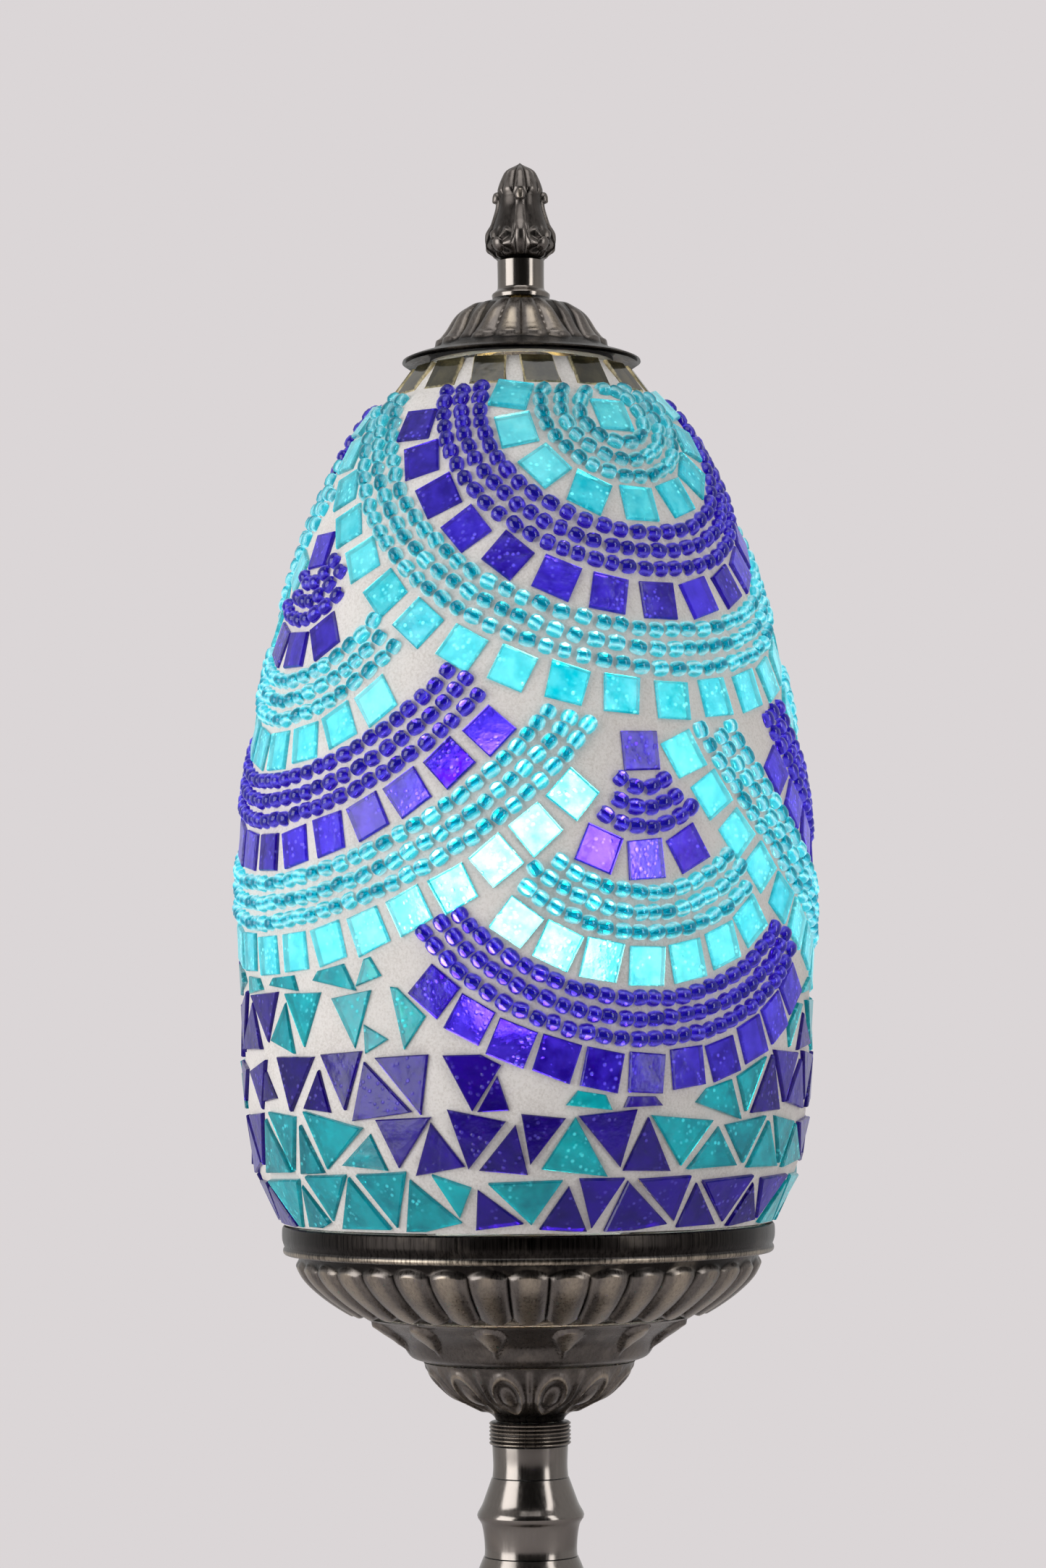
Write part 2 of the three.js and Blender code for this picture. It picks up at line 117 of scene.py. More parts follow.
def lining(path, thickness):
    """The inner side of a sheet with that outer outline, from its top back down."""
    inner = np.array(path, float) - outward(path) * thickness
    inner[0, 1] = path[0][1]
    inner[-1, 1] = path[-1][1]
    return [tuple(p) for p in inner[::-1]]


def bore(path, radius):
    """A straight hole of that radius through a turned piece."""
    return [(radius, path[-1][1]), (radius, path[0][1])]


def distances(path):
    """How far along the path each point is, in mm."""
    steps = np.linalg.norm(np.diff(np.array(path, float), axis=0), axis=1)
    return np.concatenate([[0], np.cumsum(steps)])


def arc_share(path):
    """How far along the path each point is, from 0 to 1."""
    return distances(path) / distances(path)[-1]


def turned(outer, inner, sides, relief=None):
    """Vertices, faces and relief heights of an outline turned about Z.

    `outer` runs upwards and takes the relief. `inner` is the way back down; with none, the outline
    starts and ends on the axis.
    """
    path = np.array(list(outer) + list(inner), float)
    azimuth = np.linspace(0, TURN, sides, endpoint=False)[:, None]
    height = np.zeros((sides, len(path)))
    if relief:
        height[:, : len(outer)] = relief(azimuth, arc_share(outer)[None, :])
    normal = np.zeros_like(path)
    normal[: len(outer)] = outward(outer)
    radius = path[:, 0] + height * normal[:, 0]
    level = path[:, 1] + height * normal[:, 1]
    places = np.stack([radius * np.sin(azimuth), -radius * np.cos(azimuth), level], axis=2)
    count = len(path)
    rows = [(j, k) for j, k in pairs(range(count)) if path[j, 0] > 0 or path[k, 0] > 0]
    faces = quads(pairs(range(0, sides * count, count)), rows)
    return places.reshape(-1, 3), faces, height.reshape(-1)


def into_scene(name, data):
    thing = bpy.data.objects.new(name, data)
    bpy.context.scene.collection.objects.link(thing)
    return thing


def new_object(name, look, verts, faces, values=None):
    """A mesh object. `values` holds lists with a number for each vertex."""
    mesh = bpy.data.meshes.new(name)
    mesh.from_pydata([tuple(v) for v in np.array(verts, float) * MM], [], faces)
    for key, numbers in (values or {}).items():
        layer = mesh.attributes.new(key, "FLOAT", "POINT")
        layer.data.foreach_set("value", np.array(numbers, np.float32))
    mesh.materials.append(look)
    merge_doubles(mesh)
    return into_scene(name, mesh)


def add_mesh(name, body, slot, look, verts, faces, values=None, crease=40):
    """One visible piece of the lamp. `crease` is in degrees."""
    piece = new_object(name, look, verts, faces, values)
    piece.data.shade_smooth()
    piece.data.set_sharp_from_angle(angle=radians(crease))
    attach(piece, body)
    return piece


def merge_doubles(mesh):
    """Joins vertices that lie in one place, such as those of an outline's end on the axis."""
    work = bmesh.new()
    work.from_mesh(mesh)
    bmesh.ops.remove_doubles(work, verts=work.verts, dist=0.001 * MM)
    bmesh.ops.dissolve_degenerate(work, edges=work.edges, dist=0.001 * MM)
    work.to_mesh(mesh)
    work.free()


# ---- materials


class Nodes:
    """A node tree under construction."""

    def __init__(self, tree):
        self.tree = tree

    def feed(self, node, socket, value):
        """Sets a socket to a value, or links it if the value is another node's output."""
        if isinstance(value, bpy.types.NodeSocket):
            self.tree.links.new(value, node.inputs[socket])
        else:
            node.inputs[socket].default_value = value

    def add(self, kind, inputs=(), **settings):
        node = self.tree.nodes.new("ShaderNode" + kind)
        for key, value in settings.items():
            setattr(node, key, value)
        for socket, value in dict(inputs).items():
            self.feed(node, socket, value)
        return node

    def maths(self, operation, a, b=0.0):
        return self.add("Math", {0: a, 1: b}, operation=operation).outputs[0]

    def ramp(self, factor, *stops, interpolation="LINEAR"):
        """A colour ramp through (position, (r, g, b)) stops."""
        node = self.add("ValToRGB", {"Fac": factor})
        node.color_ramp.interpolation = interpolation
        elements = node.color_ramp.elements
        while len(elements) < len(stops):
            elements.new(0.5)
        for element, (position, colour) in zip(elements, stops):
            element.position = position
            element.color = (*colour, 1)
        return node.outputs["Color"]


class Look(Nodes):
    """A node material under construction: a Principled shader and what feeds it."""

    def __init__(self, name, **uniform):
        self.material = bpy.data.materials.new(name)
        self.material.use_nodes = True
        super().__init__(self.material.node_tree)
        self.shader = self.tree.nodes["Principled BSDF"]
        for key, value in uniform.items():
            self.set(key.replace("_", " ").title().replace("Ior", "IOR"), value)

    def set(self, socket, value):
        self.feed(self.shader, socket, value)

    def place(self, scale=(1, 1, 1)):
        """Position on the lamp at rest, in metres, stretched by `scale`."""
        here = self.add("TexCoord").outputs["Object"]
        return self.add("Mapping", {"Vector": here, "Scale": scale}).outputs["Vector"]

    def noise(self, scale, detail, roughness, stretch=(1, 1, 1)):
        inputs = {"Vector": self.place(stretch), "Scale": scale, "Detail": detail, "Roughness": roughness}
        return self.add("TexNoise", inputs).outputs["Fac"]

    def value(self, name):
        """A number that add_mesh stored on each vertex."""
        return self.add("Attribute", attribute_name=name).outputs["Fac"]

    def sum(self, *terms):
        total = terms[0]
        for term in terms[1:]:
            total = self.maths("ADD", total, term)
        return total

    def scaled(self, factor, by):
        return self.maths("MULTIPLY", factor, by)

    def span(self, factor, low, high, start=0.0, end=1.0):
        """Carries a factor from start..end to low..high, clamped."""
        inputs = {"Value": factor, "From Min": start, "From Max": end, "To Min": low, "To Max": high}
        return self.add("MapRange", inputs).outputs["Result"]

    def mix(self, factor, a, b, blend="MIX"):
        node = self.add("Mix", data_type="RGBA", blend_type=blend)
        for index, item in ((0, factor), (6, a), (7, b)):
            self.feed(node, index, (*item, 1) if isinstance(item, tuple) else item)
        return node.outputs[2]

    def bump(self, height, depth, strength=1.0):
        """Relief of `depth` mm where `height` goes from 0 to 1."""
        inputs = {"Height": height, "Strength": strength, "Distance": depth * MM}
        self.set("Normal", self.add("Bump", inputs).outputs["Normal"])


BLACKENED = (0.014, 0.012, 0.011)
GUNMETAL = (0.135, 0.120, 0.110)
BURNISHED = (0.33, 0.28, 0.22)
POLISHED = (0.18, 0.162, 0.148)
RIM_BLACK = (0.040, 0.036, 0.034)
BRUSH_STRETCH = (1, 1, 0.03)


def bronze_look(name, roughness, grain, worn=0.4, face=GUNMETAL):
    """Antique plate: black in the hollows, darkened on the faces, burnished on what stands out.

    `grain` is the strength of the brush marks and `worn` that of the rubbed patches.
    """
    look = Look(name, metallic=1.0)
    brushed = look.noise(1500, 4, 0.65, BRUSH_STRETCH)
    cloud = look.noise(70, 4, 0.6)
    relief = look.sum(look.value("relief"), look.span(cloud, -0.18, 0.18))
    tone = look.ramp(relief, (0.18, BLACKENED), (0.5, face), (0.8, face), (1, BURNISHED))
    warm = look.span(cloud, 0, worn, 0.5, 0.85)
    tone = look.mix(warm, tone, BURNISHED)
    streak = look.span(brushed, 1 - grain, 1 + grain, 0.35, 0.65)
    grey = look.add("CombineColor", {0: streak, 1: streak, 2: streak})
    look.set("Base Color", look.mix(1.0, tone, grey.outputs[0], "MULTIPLY"))
    look.set("Roughness", look.span(brushed, roughness * 0.75, roughness * 1.35, 0.3, 0.7))
    look.bump(brushed, 0.02 * grain, 0.6)
    return look.material


def metal_look(name, colour, roughness, stain):
    """Bare metal with a fine grain, `stain` times as bright in its cloudy patches."""
    look = Look(name, metallic=1.0)
    cloud = look.noise(90, 4, 0.6)
    grain = look.noise(1200, 3, 0.6)
    dark = tuple(c * stain for c in colour)
    look.set("Base Color", look.ramp(cloud, (0.3, dark), (0.62, colour)))
    look.set("Roughness", look.span(grain, roughness * 0.7, roughness * 1.4, 0.3, 0.7))
    look.bump(grain, 0.02, 0.5)
    return look.material


def plain_look(name, colour, shade, roughness, grain_scale, depth, **uniform):
    """A matt material with mottled colour and a fine grain."""
    look = Look(name, **uniform)
    grain = look.noise(grain_scale, 5, 0.65)
    cloud = look.noise(grain_scale / 12, 3, 0.5)
    mottle = look.sum(look.scaled(grain, 0.5), look.scaled(cloud, 0.5))
    look.set("Base Color", look.ramp(mottle, (0.35, shade), (0.62, colour)))
    look.set("Roughness", look.span(grain, roughness * 0.85, min(1, roughness * 1.1)))
    look.bump(grain, depth)
    return look.material


BULB_CENTRE = (0, 0, 0.305)
BULB_BRIGHTNESS = 34.0
GLOW_NEAR = 0.074
GLOW_FAR = 0.135


def glow(look, low, high):
    """Painted glow: an emission strength that falls off with the distance from the bulb, standing in for its
    light in the glass and grout.
    """
    here = look.add("TexCoord").outputs["Object"]
    away = look.add("VectorMath", {0: here, 1: BULB_CENTRE}, operation="DISTANCE")
    return look.span(away.outputs["Value"], high, low, GLOW_NEAR, GLOW_FAR)


def light_up(look, colour, low, high):
    """Gives coloured glass its colour, and a painted glow in the same colour."""
    look.set("Base Color", colour)
    look.set("Emission Color", colour)
    look.set("Emission Strength", glow(look, low, high))


def bubbles(look, scale):
    """Small round seeds in the glass, in some places only: 1 on a seed, 0 elsewhere."""
    cells = look.add("TexVoronoi", {"Vector": look.place(), "Scale": scale})
    dots = look.span(cells.outputs["Distance"], 1, 0, 0.16, 0.34)
    where = look.span(look.noise(110, 2, 0.5), 0, 1, 0.44, 0.56)
    return look.scaled(dots, where)


def tile_look(name, deep, clear, clarity, glow_low, glow_high):
    """Cut art glass: rippled, with small bubbles, lit from inside. Its cut edges get painted shade, as if the
    light only grazed them, and it gets a painted glow near the bulb.
    """
    look = Look(name, roughness=0.22, ior=1.4, transmission_weight=clarity, coat_weight=0.1)
    look.set("Coat Roughness", 0.05)
    look.set("Specular IOR Level", 0.14)
    ripple = look.noise(230, 3, 0.5)
    fine = look.noise(1100, 3, 0.6)
    seeds = bubbles(look, 560)
    tone = look.sum(look.span(look.value("tone"), 0, 0.55), look.span(ripple, 0, 0.5, 0.36, 0.64))
    colour = look.ramp(tone, (0.1, deep), (0.9, clear))
    pale = tuple(min(1, 1.9 * c + 0.05) for c in clear)
    colour = look.mix(look.scaled(seeds, 0.8), colour, pale)
    # Painted shade: the cut edges are darkened, as if the light only grazed them.
    dark = tuple(c * 0.3 for c in deep)
    edge = look.span(look.sum(look.value("edge"), look.span(fine, -0.3, 0.3)), 0, 0.7, 0.6, 1.15)
    # Painted glow near the bulb, on top of the light that really comes through the glass.
    light_up(look, look.mix(edge, colour, dark), glow_low, glow_high)
    look.bump(look.sum(ripple, look.scaled(seeds, 0.5)), 0.4, 0.8)
    return look.material


SMOKE_DEEP = (0.016, 0.015, 0.009)
SMOKE_CLEAR = (0.060, 0.056, 0.034)
# The pale colour painted on the crown's cut edges is a painted glint of the light inside.
PAINTED_EDGE_GLINT = (0.55, 0.49, 0.30)
WARM_LIGHT = (1.0, 0.80, 0.45, 1)


def crown_look():
    """Smoky olive glass whose cut edges get a pale painted glint and a patchy warm painted glow, for the
    light inside that catches them.
    """
    look = Look("crown_glass", roughness=0.1, ior=1.45, transmission_weight=0.4)
    cloud = look.noise(130, 3, 0.5)
    fine = look.noise(900, 3, 0.6)
    rim = look.span(look.sum(look.value("edge"), look.span(fine, -0.35, 0.35)), 0, 1, 0.65, 1.1)
    smoke = look.ramp(cloud, (0.3, SMOKE_DEEP), (0.7, SMOKE_CLEAR))
    # Painted glint: the cut edges turn pale as if the light inside caught them.
    look.set("Base Color", look.mix(rim, smoke, PAINTED_EDGE_GLINT))
    # Painted glow: warm emission on the cut edges, in patches.
    look.set("Emission Color", WARM_LIGHT)
    patchy = look.span(look.noise(160, 2, 0.5), 0, 0.35, 0.45, 0.62)
    look.set("Emission Strength", look.scaled(rim, patchy))
    look.bump(cloud, 0.2, 0.6)
    return look.material


def bead_look(name, lining_colour, body, pale, glow_low, glow_high):
    """A glass bead whose coloured hole shows through as a stripe along its row. The pale band beside the
    stripe is partly the bead's clear glass and partly painted light shining through its thin flanks; the bead
    also gets the painted glow.
    """
    look = Look(name, roughness=0.06, ior=1.42, transmission_weight=0.8)
    across = look.maths("ABSOLUTE", look.value("across"))
    wobble = look.span(look.noise(420, 2, 0.5), -0.16, 0.16)
    band = look.sum(across, wobble, look.span(look.value("tone"), -0.3, 0.2))
    # Lining stripe, body, pale band that is partly painted light, and body again towards the edge.
    colour = look.ramp(band, (0.1, lining_colour), (0.32, body), (0.6, pale), (0.85, body))
    light_up(look, colour, glow_low, glow_high)
    return look.material


GROUT_SHADE = (0.46, 0.43, 0.405)
GROUT_FACE = (0.60, 0.575, 0.555)
GROUT_INSIDE = (0.24, 0.225, 0.21)
GROUT_GLOW = (1.0, 0.86, 0.7, 1)


def grout_look():
    """Gritty cement with a faint painted glow near the bulb, darker on its inner side so that it doesn't wash
    out the glass.
    """
    look = Look("grout", roughness=0.9)
    grit = look.noise(1500, 5, 0.7)
    cloud = look.noise(55, 4, 0.6)
    tone = look.sum(look.scaled(grit, 0.7), look.scaled(cloud, 0.3))
    face = look.ramp(tone, (0.36, GROUT_SHADE), (0.54, GROUT_FACE))
    look.set("Base Color", look.mix(look.value("inner"), face, GROUT_INSIDE))
    # Painted glow: a faint warm emission near the bulb stands in for its light coming through the thin grout.
    look.set("Emission Color", GROUT_GLOW)
    look.set("Emission Strength", glow(look, 0.0, 0.05))
    look.bump(grit, 0.2, 0.9)
    return look.material


def lit_bulb_look():
    look = Look("lit_bulb", base_color=(0.9, 0.88, 0.82, 1), roughness=0.3)
    cloud = look.noise(40, 2, 0.5)
    look.set("Emission Color", look.ramp(cloud, (0.3, (1.0, 0.88, 0.7)), (0.7, (1.0, 0.93, 0.82))))
    look.set("Emission Strength", BULB_BRIGHTNESS)
    return look.material


def clear_look():
    """Thin clear glass that lets light straight through."""
    look = Look("shade_glass", base_color=(0.85, 0.93, 0.95, 1), roughness=0.04, ior=1.5)
    look.set("Alpha", look.span(look.noise(30, 2, 0.5), 0.07, 0.13, 0.3, 0.7))
    return look.material


CYAN_DEEP = (0.0, 0.30, 0.38)
CYAN_CLEAR = (0.10, 0.48, 0.54)
BLUE_DEEP = (0.007, 0.0, 0.16)
BLUE_CLEAR = (0.036, 0.019, 0.40)
# Lining, body and pale band of each bead; the pale band is partly painted light.
BLUE_BEAD = (0.006, 0.004, 0.14), (0.012, 0.003, 0.20), (0.07, 0.055, 0.46)
CYAN_BEAD = (0.0, 0.14, 0.20), (0.03, 0.36, 0.43), (0.34, 0.62, 0.66)

LOOKS = {
    "bronze": bronze_look("bronze", 0.30, 0.16),
    "polished_bronze": bronze_look("polished_bronze", 0.17, 0.05, 0.3, POLISHED),
    "brushed_band": bronze_look("brushed_band", 0.30, 0.6, 0.1, RIM_BLACK),
    "blue_glass": tile_look("blue_glass", BLUE_DEEP, BLUE_CLEAR, 0.85, 0.5, 0.9),
    "cyan_glass": tile_look("cyan_glass", CYAN_DEEP, CYAN_CLEAR, 0.85, 0.5, 0.9),
    # Painted shade: the skirt's triangles take darker copies of the tiles' glass, with less glow, for the low
    # part far from the bulb and in the gallery's shadow.
    "skirt_blue": tile_look("skirt_blue", (0.004, 0.0, 0.095), (0.013, 0.001, 0.20), 0.8, 0.45, 0.8),
    "skirt_cyan": tile_look("skirt_cyan", (0.0, 0.13, 0.17), (0.002, 0.28, 0.32), 0.8, 0.5, 0.8),
    "crown_glass": crown_look(),
    "blue_bead": bead_look("blue_bead", *BLUE_BEAD, 0.5, 0.9),
    "cyan_bead": bead_look("cyan_bead", *CYAN_BEAD, 0.3, 0.8),
    "grout": grout_look(),
    "shade_glass": clear_look(),
    "bulb_glass": lit_bulb_look(),
    "brass": metal_look("brass", (0.62, 0.43, 0.16), 0.3, 0.6),
    "nickel": metal_look("nickel", (0.66, 0.64, 0.6), 0.22, 0.75),
    "steel": metal_look("steel", (0.42, 0.43, 0.44), 0.35, 0.7),
    "iron": plain_look("iron", (0.075, 0.073, 0.075), (0.03, 0.028, 0.028), 0.7, 700, 0.3, metallic=0.7),
    "ceramic": plain_look("ceramic", (0.82, 0.79, 0.73), (0.7, 0.66, 0.6), 0.45, 900, 0.03),
    "fibre": plain_look("fibre", (0.42, 0.3, 0.17), (0.25, 0.16, 0.08), 0.85, 1500, 0.1),
    "rubber": plain_look("rubber", (0.03, 0.03, 0.032), (0.014, 0.014, 0.015), 0.6, 1200, 0.04),
    "felt": plain_look("felt", (0.03, 0.085, 0.05), (0.012, 0.04, 0.024), 0.95, 2200, 0.25, sheen_weight=0.5),
}


def paint_cad_nodes():
    """Every CAD node that stays visible takes the look of its record slot."""
    for subpart in frame["record"]["subparts"]:
        for holder in frame["nodes"][subpart["node"]].material_slots:
            holder.material = LOOKS[subpart["material_slot"]]


# ---- relief patterns


def rise(low, high, x):
    """A smooth step from 0 at low to 1 at high."""
    t = np.clip((x - low) / (high - low), 0, 1)
    return t * t * (3 - 2 * t)


def sector(azimuth, count):
    """Position across one of `count` equal sectors, from -1 to 1, with one centred in front."""
    return 2 * ((azimuth * count / TURN + 0.5) % 1 - 0.5)


def between(azimuth, count):
    """The same with two sectors meeting in front."""
    return sector(azimuth + TURN / (2 * count), count)


def dome(x):
    """A rounded ridge over -1..1 that meets its neighbour in a crease."""
    return np.sqrt(np.clip(1 - x**2, 0, 1))


def gadroons(azimuth, along, count, depth, low=0.06, high=0.97, bow=0.11):
    """Rounded lobes side by side, with rounded ends that leave pointed arches between them."""
    across = sector(azimuth, count)
    start = low + bow * across**2
    stop = high - 0.6 * bow * across**2
    body = rise(start, start + 0.09, along) * (1 - rise(stop - 0.08, stop, along))
    return depth * body * dome(across)


def drops(azimuth, along, count, depth):
    """Embossed drops that hang from the upper edge and end in a point."""
    share = np.clip((along - 0.16) / 0.8, 0, 1)
    width = 0.4 * np.sin(pi * share**1.9) ** 0.8
    across = between(azimuth, count) / np.maximum(width, 0.001)
    drop = dome(across) * rise(0.0, 0.25, width)
    rolled_edge = 0.35 * rise(0.86, 0.97, along)
    return depth * (drop + rolled_edge)


def horseshoes(azimuth, along, count, depth):
    """Raised loops around an oval boss, with a thin rib between one loop and the next."""
    across = between(azimuth, count)
    away = np.hypot(across / 0.62, (along - 0.56) / 0.34)
    loop = np.exp(-(((away - 1) / 0.17) ** 2))
    boss = 0.9 * dome(away / 0.6)
    rib = 0.6 * np.exp(-(((np.abs(across) - 1) / 0.1) ** 2)) * rise(0.2, 0.5, along)
    return depth * np.maximum(np.maximum(loop, boss), rib) * (1 - rise(0.93, 1, along))


def rolled_lip(azimuth, along):
    """A rolled edge along the foot of a band."""
    return 0.5 * dome((along - 0.16) / 0.13) + 0 * azimuth


def rings(azimuth, along):
    """Six rings turned into a collar."""
    wave = 0.5 - 0.5 * np.cos(TURN * 6 * along)
    return 0.6 * wave**0.5 + 0 * azimuth


def leaves(azimuth, along):
    """The cap's four broad leaves, each in four ribs, with one narrow rib between two leaves."""
    across = sector(azimuth, 4)
    spread = across / (0.62 + 0.22 * (1 - rise(0.3, 0.8, along)))
    on_leaf = np.abs(spread) < 1
    ribs = np.abs(np.sin(TURN * spread)) ** 0.6
    low = 0.31 - 0.05 * ribs * on_leaf
    body = rise(low, low + 0.05, along) * (1 - rise(0.5, 0.8, along)) ** 0.7
    leaf = (0.1 + 0.5 * dome(spread) + 1.15 * ribs) * on_leaf
    between_leaves = 0.8 * dome((1 - np.abs(across)) / 0.13) * ~on_leaf
    return body * (leaf + between_leaves)


BALL_RADIUS = 6.2
BALL_LEVEL = 481.2
SCROLL_RADIUS = 8.5
SCROLL_LEVEL = 467.6


def acorn(azimuth, along, outline):
    """Leaf scrolls at the foot, a plain waist with four stalks, four balls and a ribbed bud."""
    share = arc_share(outline)
    levels = [level for _, level in outline]
    level = np.interp(along, share, levels)
    quarter = sector(azimuth, 4)
    from_ball = np.hypot(quarter * pi / 4 * BALL_RADIUS, level - BALL_LEVEL) / 1.55
    ball = 1.7 * dome(from_ball)
    stalk = 0.7 * dome(quarter / 0.3) * rise(468, 471, level) * (1 - rise(479.5, 481, level))
    scroll_side = (np.abs(quarter) - 1) * pi / 4 * SCROLL_RADIUS
    scroll_up = level - SCROLL_LEVEL
    away = np.hypot(scroll_side, scroll_up)
    turn = np.arctan2(scroll_up, np.abs(scroll_side) + 0.001)
    curl = 1.1 * dome(away / 2.0)
    fronds = 0.8 * (0.5 + 0.5 * np.cos(7 * turn)) * (away > 2.0) * (1 - rise(4.2, 5.6, away))
    stem_ribs = 0.5 * dome(sector(azimuth * 4, 5)) * (np.abs(quarter) < 0.34)
    leaf = np.maximum(curl, fronds) + stem_ribs * (1 - rise(471, 474, level))
    bud = rise(481.4, 483.2, level) * (1 - rise(487.5, 490.8, level))
    ribs = 0.8 * dome(sector(azimuth, 10)) * bud
    return ball + stalk + rise(464.2, 465.4, level) * leaf + ribs


# ---- metalwork

FINE = 96
CARVED = 432
PLAIN_TONE = 0.6
RAISED_TONE = 0.94


def add_turned(name, body, slot, outer, inner, relief=None, sides=FINE, look=None, ground=0.16):
    """A turned piece that takes the place of the CAD node with its name.

    `ground` is the tone between the raised parts: 0.16 is blackened, 0.5 is the plain face.
    """
    verts, faces, height = turned(outer, inner, sides, relief)
    shown = np.full(len(height), PLAIN_TONE)
    if relief:
        shown = ground + (RAISED_TONE - ground) * height / height.max()
    look = LOOKS[look or slot]
    piece = add_mesh(f"{name}_shape", body, slot, look, verts, faces, {"relief": shown})
    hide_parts(name)
    return piece


def add_sheet(name, points, step, relief, ground=0.16, look=None):
    """One of the stand's pressed bronze sheets."""
    outline = smooth(points, step)
    add_turned(name, "stand", "bronze", outline, lining(outline, SHEET), relief, CARVED, look, ground)


TUBE_BORE = 5.4
SHEET = 1.2

STEM = {
    "stem_foot": [
        (13, 62.3), (13.4, 66), (15.6, 69.6), (19.2, 73), (20.8, 76), (19.2, 79.6), (16.6, 86), (14.9, 91.2),
    ],
    "stem_lower": [
        (14.8, 91.5), (15, 94.5), (16, 98), (17.4, 100.6), (16, 104.5), (14, 110.1), (12.7, 113.2),
    ],
    "stem_middle": [
        (12.5, 113.5), (12.4, 115.1), (12.6, 118.5), (13.2, 121.9), (14.4, 124.2), (13, 127.1),
        (11.7, 130.6), (10.4, 134.2),
    ],
    "stem_upper": [(10.2, 134.5), (10, 137.5), (10.2, 142.7)],
}


def build_stem():
    for name, points in STEM.items():
        outline = smooth(points)
        add_turned(name, "stand", "polished_bronze", outline, bore(outline, TUBE_BORE))
    ring = smooth([(10.4, 143), (10.4, 149.2)], 0.15)
    add_turned("stem_collar", "stand", "bronze", ring, bore(ring, TUBE_BORE), rings)


LOOPS = partial(horseshoes, count=12, depth=0.8)
DROPS = partial(drops, count=12, depth=1.5)
LOBES = partial(gadroons, count=36, depth=1.5)


def build_gallery():
    lower = [(9, 149.5), (10.7, 151.4), (16.8, 154.6), (21.2, 156.8), (25.6, 161), (28.5, 165.3)]
    add_sheet("lower_cup", lower, 0.3, LOOPS, 0.34)
    middle = [(28.6, 165.6), (32.1, 167.1), (35.2, 171.7), (39.8, 175), (44, 177.9)]
    add_sheet("middle_cup", middle, 0.3, DROPS, 0.4)
    bowl = [(44.2, 178.2), (48.5, 180), (55.2, 184.5), (60.1, 189.3), (62.2, 194.3)]
    add_sheet("gallery_bowl", bowl, 0.3, LOBES)
    rim = [(64.6, 194.6), (65.5, 195.2), (65.7, 196.6), (66.3, 198.6), (66.3, 201.4), (65.9, 202.2)]
    seat = [(64, 202.2), (64, 196.9), (56, 196.9), (56, 195.8), (63, 194.6)]
    add_turned("gallery_rim", "stand", "bronze", smooth(rim, 0.2), seat, rolled_lip, CARVED, "brushed_band")


def build_foot():
    band = [(67.8, 2), (68.6, 4), (68.6, 10), (67.8, 12.2)]
    add_sheet("foot_band", band, 0.5, None, look="brushed_band")
    add_sheet("foot_skirt", [(67.0, 12.5), (65.9, 18), (60.8, 26), (54.6, 31), (51.6, 33.2)], 0.35, LOBES)
    add_sheet("foot_tier", [(52, 33.5), (47, 36), (42, 39.6), (38, 43), (34.4, 45.4)], 0.4, DROPS, 0.4)
    crown = [(34.2, 45.7), (32.4, 49.4), (28.6, 53.2), (23.4, 57), (18, 60), (13.4, 62)]
    add_sheet("foot_crown", crown, 0.3, LOOPS, 0.34)


def build_cap():
    brim = [(32.5, 435.9), (32.4, 436.3), (30, 437.3), (27.0, 438.2), (22.0, 440.4), (20.0, 442.4)]
    bell = [(18.6, 444.4), (16.6, 447.8), (14.4, 450.2), (12.4, 451.6), (8, 452.6), (3.6, 453.1)]
    outline = smooth(brim + bell, 0.36)
    add_turned("top_cap", "cap", "bronze", outline, lining(outline, SHEET), leaves, CARVED)


FINIAL_BORE = 4.2


def build_finial():
    neck = smooth([(7.8, 453.5), (7.9, 454.6), (6.9, 455.5), (6.4, 456.3), (6.35, 460), (6.4, 463.7)], 0.3)
    add_turned("finial_neck", "finial", "polished_bronze", neck, bore(neck, FINIAL_BORE))
    foot = [(5.4, 464), (7.3, 465.6), (8.9, 468.4), (8.5, 470.7), (7.3, 474.2), (6.1, 478.3), (5.9, 481.2)]
    bud = [(5.5, 483.4), (4.6, 485.9), (3.1, 488.5), (0, 491)]
    outline = smooth(foot + bud, 0.18)
    hole = [(0, 486), (3.6, 484), (3.6, 464)]
    relief = partial(acorn, outline=outline)
    add_turned("finial", "finial", "bronze", outline, hole, relief, CARVED, ground=0.32)


BULB_OUTLINE = [
    (11.6, 236), (11.6, 252.3), (13.2, 257), (16.6, 266), (24.4, 281), (29, 294), (30, 305), (28.2, 315.3),
    (21.2, 326.2), (11, 332.9), (0, 335),
]
BULB_WALL = 0.8
HARP_WIRE = 2.0
HARP_SIDE = [
    (28, 207.3), (28, 213), (28, 218), (28, 223), (28, 228), (29.2, 234), (36, 256), (43, 290), (44, 325),
    (38.5, 365), (27, 405), (17, 430), (10, 439.6),
]


def build_bulb():
    outline = smooth(BULB_OUTLINE, 1.2)
    inner = lining(outline, BULB_WALL)
    inner[0] = (0, BULB_OUTLINE[-1][1] - BULB_WALL)
    add_turned("bulb_glass", "bulb", "bulb_glass", outline, inner)


def swept(path, radius, sides):
    """A round wire along a path in the XZ plane, with flat ends."""
    path = np.array(path, float)
    beside = outward(path)
    around = np.linspace(0, TURN, sides, endpoint=False)
    verts = []
    for (x, z), (nx, nz) in zip(path, beside):
        for a in around:
            out = radius * cos(a)
            verts.append((x + out * nx, radius * sin(a), z + out * nz))
    faces = [tuple(range(sides)), tuple(range(len(verts) - 1, len(verts) - sides - 1, -1))]
    faces += quads(neighbours(range(0, len(verts), sides)), pairs(range(sides)))
    return verts, faces


